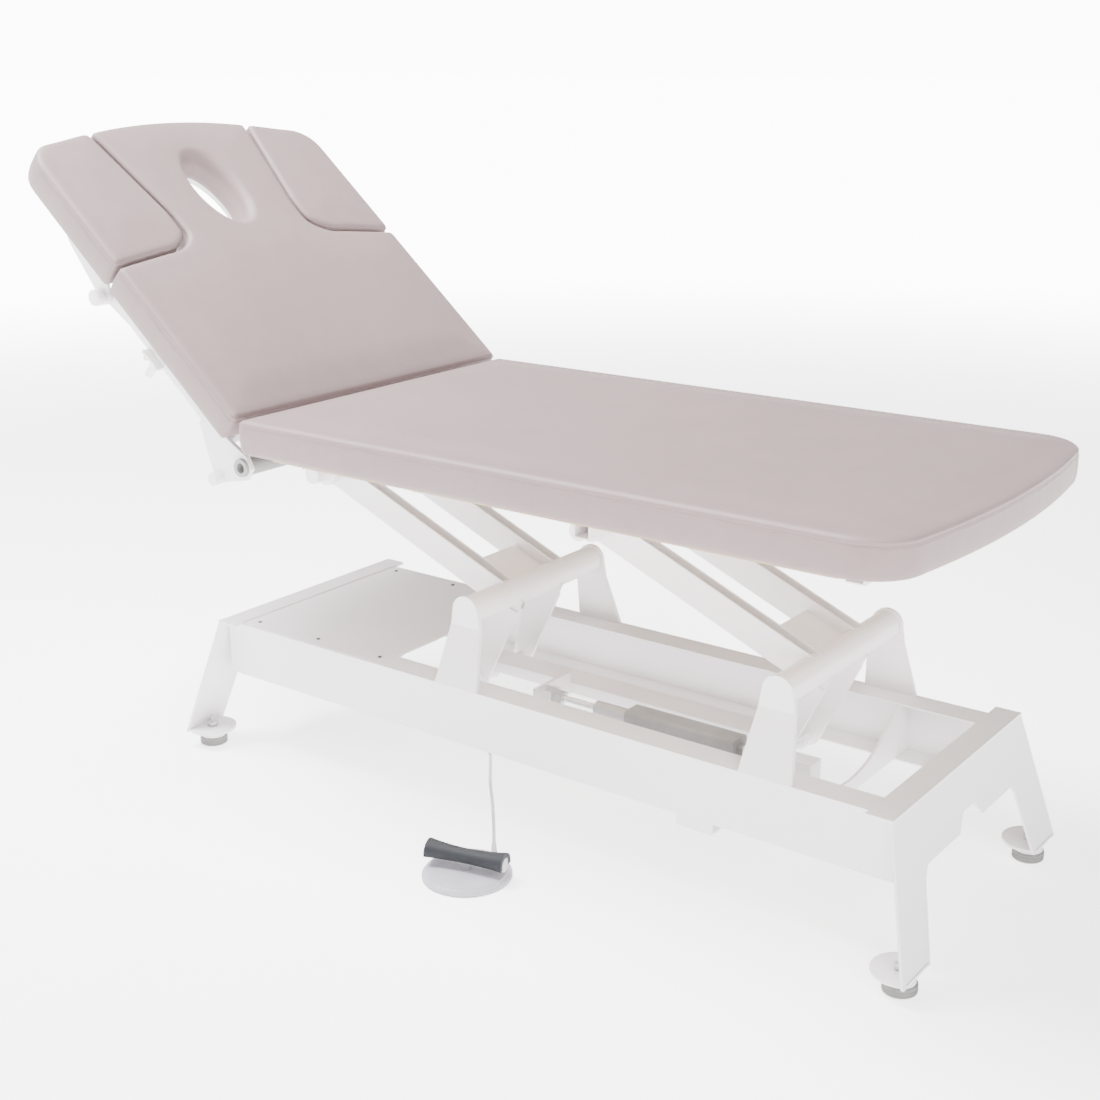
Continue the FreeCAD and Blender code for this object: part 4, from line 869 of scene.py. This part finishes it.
@dataclass
class Upholstery:
    """The four cushions: leg section, back section with the face opening, two side pads."""

    finishes: Finishes
    half_width: float = 0.350
    leg_foot: float = 0.750
    leg_corner: float = 0.085
    leg_bow: float = 0.020
    back_start: float = 0.004
    split: float = 0.362
    shoulder: float = 0.382
    shoulder_in: float = 0.070
    turn_up: float = 0.012
    turn_in: float = 0.026
    neck_turn: float = 0.420
    waist_s: float = 0.470
    waist: float = 0.150
    neck_top: float = 0.190
    length: float = 0.710
    head_bow: float = 0.018
    pad_gap: float = 0.0075
    pad_low: float = 0.006
    pad_corner: float = 0.060
    pad_drop: float = 0.020
    face_s: float = 0.530
    face_half: Tuple[float, float] = (0.086, 0.046)

    def leg_outline(self) -> Array:
        """Square at the back section, bowed with big corners at the foot."""
        h, r = self.half_width, self.leg_corner
        shoulder = self.leg_foot - self.leg_bow
        bend = r * (1 - math.sqrt(0.5))
        near = [(LEG_HEAD, -h), (shoulder - r, -h)]
        corner = arc(near[1], (shoulder - bend, -h + bend), (shoulder, -h + r))
        bow = arc((shoulder, -h + r), (self.leg_foot, 0.0), (shoulder, h - r))
        far = arc((shoulder, h - r), (shoulder - bend, h - bend), (shoulder - r, h))
        return np.concatenate([near, corner, bow, far, [(LEG_HEAD, h)]])

    def back_outline(self) -> Array:
        """T shape: full width below the side pads, a waisted neck between them."""
        h, w = self.half_width, self.waist
        top = (-(self.length - self.head_bow), -self.neck_top)
        near = [(-self.back_start, -h), (-self.split, -h), (-self.shoulder, -(w + self.shoulder_in))]
        bend = arc(near[2], (-(self.shoulder + self.turn_up), -(w + self.turn_in)), (-self.neck_turn, -w))
        half = np.concatenate([near, bend, [(-self.waist_s, -w), top]])
        crown = arc(top, (-self.length, 0.0), (top[0], -top[1]))[:-1]
        far = (half * np.array([1.0, -1.0]))[::-1]
        return np.concatenate([half, crown, far])[::-1]

    def pad_outline(self) -> Array:
        """Near side pad: follows the neck and has a round outer corner."""
        h, low = self.half_width, self.pad_low
        w = self.waist + self.pad_gap
        start = (-(self.split + low), -h)
        shoulder = (-(self.shoulder + low), -(w + self.shoulder_in))
        turn = (-(self.shoulder + self.turn_up + low), -(w + self.turn_in))
        bend = arc(shoulder, turn, (-(self.neck_turn + low), -w))
        edge = self.length - self.head_bow
        top_in = (-edge, -(self.neck_top + self.pad_gap))
        e, r = edge - self.pad_drop, self.pad_corner
        k = r * (1 - math.sqrt(0.5))
        corner = arc((-e, -h + r), (-e + k, -h + k), (-e + r, -h))
        loop = [[start, shoulder], bend, [(-(self.waist_s + low), -w), top_in, (-e, -h + r)], corner]
        return np.concatenate(loop)

    def face_outline(self) -> Array:
        """The oval breathing hole."""
        turn = np.linspace(0, 2 * math.pi, 120, endpoint=False)
        a, b = self.face_half
        return np.stack([-self.face_s + a * np.cos(turn), b * np.sin(turn)], -1)

    def build(self) -> None:
        """Makes the cushions."""
        pad = self.pad_outline()
        Cushion("leg_cushion_cover", "leg_cushion", "top", self.leg_outline(), self.finishes,
                place=on_leg, seed=11).build()
        Cushion("back_cushion_cover", "back_cushion", "back", self.back_outline(), self.finishes,
                hole=self.face_outline(), place=on_back, seed=12, crown=0.005).build()
        Cushion("near_pad_cover", "near_pad", "near_rest", pad, self.finishes, place=on_back, seed=13,
                crown=0.0045, spacing=0.005, grid=0.009, softness=0.0092).build()
        Cushion("far_pad_cover", "far_pad", "far_rest", mirrored(pad), self.finishes, place=on_back,
                seed=14, crown=0.0045, spacing=0.005, grid=0.009, softness=0.0092).build()


# Hardware

@dataclass
class LevellingFeet:
    """Four feet: grooved rubber pad, moulded cap, threaded stud and hexagon lock nut."""

    finishes: Finishes
    pad_radius: float = 0.026
    pad_height: float = 0.016
    stud_radius: float = 0.005
    stud_top: float = 0.054
    nut_low: float = 0.0356
    nut_high: float = 0.0430

    def build(self) -> None:
        """Makes every foot where its node stands."""
        for number in range(1, 5):
            low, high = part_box(f"foot_{number}")
            centre = ((low.x + high.x) / 2, (low.y + high.y) / 2, 0.0)
            self._foot(number, centre)
        LOG.info("levelling feet: 4")

    def _foot(self, number: int, centre: Point) -> None:
        """Makes one foot's four pieces."""
        r, h = self.pad_radius, self.pad_height
        pad = np.array([(r - 0.006, 0.0), (r - 0.002, 0.0003), (r - 0.0004, 0.0016), (r, 0.004),
                        (r - 0.0012, 0.0052), (r - 0.0012, 0.0060), (r, 0.0072), (r, 0.0088),
                        (r - 0.0012, 0.0100), (r - 0.0012, 0.0108), (r, 0.0120), (r - 0.0006, h - 0.0010),
                        (r - 0.0020, h), (r - 0.008, h + 0.0002)])
        cap = np.array([(r - 0.0034, h - 0.0006), (r - 0.0030, h + 0.0010), (r - 0.0034, h + 0.0030),
                        (r - 0.0044, h + 0.0060), (r - 0.0058, h + 0.0076), (r - 0.0085, h + 0.0082),
                        (0.0105, h + 0.0084), (0.0098, h + 0.0096), (0.0090, h + 0.0108),
                        (0.0070, h + 0.0112)])
        z = np.linspace(h + 0.008, self.stud_top, 110)
        ends = np.minimum(1.0, (self.stud_top - z) / 0.0012 * 0.25 + 0.75)
        stud = np.column_stack([self.stud_radius * ends, z])
        nut_z = np.array([self.nut_low, self.nut_low + 0.0006, self.nut_high - 0.0006, self.nut_high])
        nut = np.column_stack([np.array([0.0092, 0.0100, 0.0100, 0.0092]), nut_z])
        pieces = [
            lathe(f"foot_{number}_pad", pad, self.finishes.rubber, centre, segments=64),
            lathe(f"foot_{number}_cap", cap, self.finishes.white, centre, segments=64),
            lathe(f"foot_{number}_stud", stud, self.finishes.stud, centre, segments=32,
                  ripple=self._thread),
            lathe(f"foot_{number}_nut", nut, self.finishes.stud, centre, segments=48, ripple=self._flats),
        ]
        for piece in pieces:
            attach(piece, f"leveller_{number}")
        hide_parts(f"foot_{number}")

    @staticmethod
    def _thread(angle: Array, height: Array) -> Array:
        """A helical ridge: a triangle wave of height over pitch less the turn."""
        phase = (height / 0.0015 - angle / (2 * math.pi)) % 1.0
        return 0.90 + 0.10 * (1.0 - np.abs(2.0 * phase - 1.0))

    @staticmethod
    def _flats(angle: Array, height: Array) -> Array:
        """Six flats: the cosine of 30 degrees over the cosine of the angle from a flat's middle."""
        off = (angle % (math.pi / 3)) - math.pi / 6
        return math.cos(math.pi / 6) / np.cos(off) * 1.08


@dataclass
class ClampKnobs:
    """Ribbed knobs that clamp the side pads."""

    finishes: Finishes
    radius: float = 0.015
    length: float = 0.024

    def build(self) -> None:
        """Makes both knobs."""
        r, n = self.radius, self.length
        profile = np.array([(r * 0.62, 0.0), (r * 0.66, 0.0010), (r * 0.66, 0.0048), (r * 0.92, 0.0062),
                            (r, 0.0080), (r, n - 0.0056), (r * 0.95, n - 0.0030), (r * 0.82, n - 0.0012),
                            (r * 0.62, n - 0.0004), (r * 0.3, n)])
        for side, body, axis in (("near", "near_clamp", "-y"), ("far", "far_clamp", "y")):
            low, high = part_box(side + "_pad_knob")
            y = high.y if side == "near" else low.y
            centre = ((low.x + high.x) / 2, y, (low.z + high.z) / 2)
            knob = lathe(side + "_pad_knob_ribbed", profile, self.finishes.white, centre, axis, 96,
                         self._ribs)
            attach(knob, body)
            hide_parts(side + "_pad_knob")
        LOG.info("clamp knobs: 2")

    def _ribs(self, angle: Array, height: Array) -> Array:
        """Shallow lobes round the grip, fading out at its ends."""
        start = np.clip((height - 0.006) / 0.002, 0, 1)
        end = np.clip((self.length - 0.002 - height) / 0.003, 0, 1)
        grip = start * end
        return 1.0 - 0.045 * grip * (0.5 - 0.5 * np.cos(12 * angle)) ** 1.5


@dataclass
class CoverScrews:
    """Button heads with a shallow round socket on the cover plate."""

    finishes: Finishes
    radius: float = 0.004
    head: float = 0.0016

    def build(self) -> None:
        """Makes one head over each CAD screw."""
        low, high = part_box("cover_screws")
        r, h = self.radius, self.head
        profile = np.array([(r * 0.96, 0.0), (r, 0.0002), (r * 0.96, h * 0.45), (r * 0.8, h * 0.8),
                            (r * 0.6, h), (r * 0.48, h), (r * 0.46, h * 0.45), (r * 0.3, h * 0.35)])
        made: List[bpy.types.Object] = []
        middle = (low.x + high.x) / 2
        for column, x in enumerate((low.x + r, middle, high.x - r)):
            for side, y in enumerate((low.y + r, high.y - r)):
                name = f"cover_screw_{column * 2 + side + 1}"
                made.append(lathe(name, profile, self.finishes.dark, (x, y, low.z), segments=36))
        for piece in made:
            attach(piece, "base")
        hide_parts("cover_screws")
        LOG.info("cover screws: %d", len(made))


@dataclass
class FootSwitch:
    """Round foot switch: its rolled base disc."""

    finishes: Finishes
    centre: Point = (0.012, -0.354, 0.0)
    radius: float = 0.074
    height: float = 0.012

    def build(self) -> None:
        """Makes the base disc with its rolled rim."""
        r, h = self.radius, self.height
        profile = np.array([(r - 0.004, 0.0), (r - 0.0012, 0.0004), (r - 0.0008, 0.0022), (r, 0.0026),
                            (r, 0.0042), (r - 0.0012, 0.0062), (r - 0.0036, 0.0086), (r - 0.0064, 0.0106),
                            (r - 0.0095, h - 0.0004), (r - 0.013, h), (r - 0.030, h + 0.0003),
                            (0.012, h + 0.0004)])
        base = lathe("switch_disc", profile, self.finishes.lilac, self.centre, segments=128)
        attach(base, "base")
        LOG.info("foot switch: base disc")


@dataclass
class SwitchCord:
    """The foot switch's cord, from the gland under the near rail to the switch."""

    finishes: Finishes
    radius: float = 0.003
    length: float = 0.156
    points: Tuple[Point, ...] = (
        (-0.058, -0.204, 0.141),
        (-0.058, -0.204, 0.117),
        (-0.048, -0.219, 0.093),
        (-0.028, -0.237, 0.070),
        (-0.010, -0.257, 0.046),
        (0.003, -0.273, 0.022),
    )

    def build(self) -> None:
        """Makes the cord as one open spline."""
        curve = bpy.data.curves.new("switch_cord_line", "CURVE")
        curve.dimensions = "3D"
        curve.bevel_depth = self.radius
        curve.bevel_resolution = 6
        curve.resolution_u = 24
        curve.use_fill_caps = True
        spline = curve.splines.new("NURBS")
        spline.points.add(len(self.points) - 1)
        for point, place in zip(spline.points, self.points):
            point.co = (*place, 1.0)
        spline.order_u = 3
        spline.use_endpoint_u = True
        curve.materials.append(self.finishes.cord)
        cord = bpy.data.objects.new("switch_cord_line", curve)
        bpy.context.scene.collection.objects.link(cord)
        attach(cord, "base")
        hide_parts("switch_cord")
        LOG.info("switch cord: %d control points", len(self.points))


class FramePieces:
    """Gives every CAD node that stays its finish."""

    def __init__(self, finishes: Finishes, nodes: Dict[str, bpy.types.Object]) -> None:
        """Keeps the finishes and the CAD nodes.

        Args:
            finishes: the bed's finishes.
            nodes: the CAD nodes by name.
        """
        self.finishes = finishes
        self.nodes = nodes

    def finish_of(self, name: str) -> bpy.types.Material:
        """The finish of one node."""
        f = self.finishes
        special = {
            "journal_pins": f.steel, "spring_cylinder": f.dark, "spring_rod": f.chrome,
            "hinge_axle": f.grey, "actuator_rod": f.chrome, "actuator_clevis": f.steel,
            "actuator_tube": f.steel, "actuator_housing": f.grey, "leg_board": f.board,
            "back_board": f.white, "control_box": f.dark, "cord_gland": f.dark, "cord_boot": f.cord,
            "switch_base": f.lilac, "rocker_core": f.lilac, "rocker_cover": f.charcoal,
            "hinge_bolts": f.white, "back_handle": f.white,
        }
        return special.get(name, f.paint)

    def build(self) -> None:
        """Dresses every node."""
        for name, node in self.nodes.items():
            node.data.materials.clear()
            node.data.materials.append(self.finish_of(name))
        LOG.info("frame: %d nodes dressed", len(self.nodes))


# Studio

@dataclass(frozen=True)
class Lamp:
    """One square area light aimed at a point."""

    name: str
    place: Point
    target: Point
    size: float
    power: float


LAMPS = (
    Lamp("high_light", (-1.7, -0.6, 4.0), (0.0, 0.0, 0.3), 2.0, 720.0),
    Lamp("foot_light", (2.6, -1.8, 2.4), (0.4, 0.0, 0.3), 1.5, 110.0),
    Lamp("key_light", (-2.4, -2.2, 1.9), (-0.4, 0.0, 0.6), 1.2, 25.0),
)
WHITE = (1.0, 1.0, 1.0)


@dataclass
class Studio:
    """Pale floor, soft lights and the camera."""

    camera_place: Point = (1.5203, -2.1173, 1.2838)
    yaw: float = math.radians(37.14)
    pitch: float = math.radians(17.51)
    roll: float = math.radians(-0.34)
    lens: float = 52.23
    surround: float = 0.50
    backdrop: float = 12.0

    def camera(self) -> None:
        """Sets the camera by its yaw, pitch and roll."""
        y, p, r = self.yaw, self.pitch, self.roll
        ahead = Vector((-math.sin(y) * math.cos(p), math.cos(y) * math.cos(p), -math.sin(p)))
        right = Vector((math.cos(y), math.sin(y), 0.0))
        up = right.cross(ahead)
        level_right = right * math.cos(r) + up * math.sin(r)
        level_up = up * math.cos(r) - right * math.sin(r)
        data = bpy.data.cameras.new("camera")
        data.lens = self.lens
        data.sensor_width = 36.0
        view = bpy.data.objects.new("camera", data)
        turn = Matrix((level_right, level_up, -ahead)).transposed().to_4x4()
        view.matrix_world = Matrix.Translation(self.camera_place) @ turn
        bpy.context.scene.collection.objects.link(view)
        bpy.context.scene.camera = view

    def floor(self) -> None:
        """A large pale plane just under the feet. It glows as painted light: dimly near the bed, lighting it
        from below, and as bright as the backdrop far away.
        """
        g = Graph("studio_floor")
        tone = g.blend((0.93, 0.93, 0.93), (0.91, 0.91, 0.91), g.noise(3.0, 2.0))
        # Painted light: the floor's emission rises from 2.5 near the bed to the backdrop's 12 between 2 m
        # and 7 m out.
        far = (g.axis(0) * g.axis(0) + g.axis(1) * g.axis(1)).step(4.0, 50.0)
        glow = g.blend((0.21, 0.21, 0.21), WHITE, far)
        material = g.surface(Base_Color=tone, Roughness=0.75, Specular_IOR_Level=0.2,
                             Emission_Color=glow, Emission_Strength=self.backdrop)
        reach = 60.0
        corners = np.array([(-reach, -reach, -0.0004), (reach, -reach, -0.0004), (reach, reach, -0.0004),
                            (-reach, reach, -0.0004)])
        plane = make_piece("studio_floor", corners, [[0, 1, 2, 3]], material, False)

    def lamp(self, lamp: Lamp) -> None:
        """Hangs one lamp."""
        data = bpy.data.lights.new(lamp.name, "AREA")
        data.size = lamp.size
        data.energy = lamp.power
        hung = bpy.data.objects.new(lamp.name, data)
        aim = (Vector(lamp.target) - Vector(lamp.place)).to_track_quat("-Z", "Y")
        hung.matrix_world = Matrix.Translation(lamp.place) @ aim.to_matrix().to_4x4()
        bpy.context.scene.collection.objects.link(hung)

    def world(self) -> None:
        """A white surround for light, and a brighter one behind the bed for the camera."""
        world = bpy.data.worlds.new("studio")
        world.use_nodes = True
        tree = world.node_tree
        mix = tree.nodes.new("ShaderNodeMixShader")
        seen = tree.nodes.new("ShaderNodeLightPath")
        tree.links.new(seen.outputs["Is Camera Ray"], mix.inputs[0])
        glows = (tree.nodes["Background"], tree.nodes.new("ShaderNodeBackground"))
        for slot, (glow, strength) in enumerate(zip(glows, (self.surround, self.backdrop)), 1):
            glow.inputs[0].default_value = (*WHITE, 1.0)
            glow.inputs[1].default_value = strength
            tree.links.new(glow.outputs[0], mix.inputs[slot])
        tree.links.new(mix.outputs[0], tree.nodes["World Output"].inputs[0])
        bpy.context.scene.world = world

    def lights(self) -> None:
        """The surround and the three lamps."""
        self.world()
        for lamp in LAMPS:
            self.lamp(lamp)

    def build(self) -> None:
        """Sets the stage."""
        self.floor()
        self.lights()


def main() -> None:
    """Builds the bed piece by piece around the frame."""
    logging.basicConfig(level=logging.INFO, format="%(name)s: %(message)s")
    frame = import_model()
    finishes = Finishes()
    studio = Studio()
    studio.camera()
    SwitchCord(finishes).build()
    studio.build()
    FramePieces(finishes, frame["nodes"]).build()
    Upholstery(finishes).build()
    LevellingFeet(finishes).build()
    ClampKnobs(finishes).build()
    CoverScrews(finishes).build()
    FootSwitch(finishes).build()


if __name__ == "__main__":
    main()
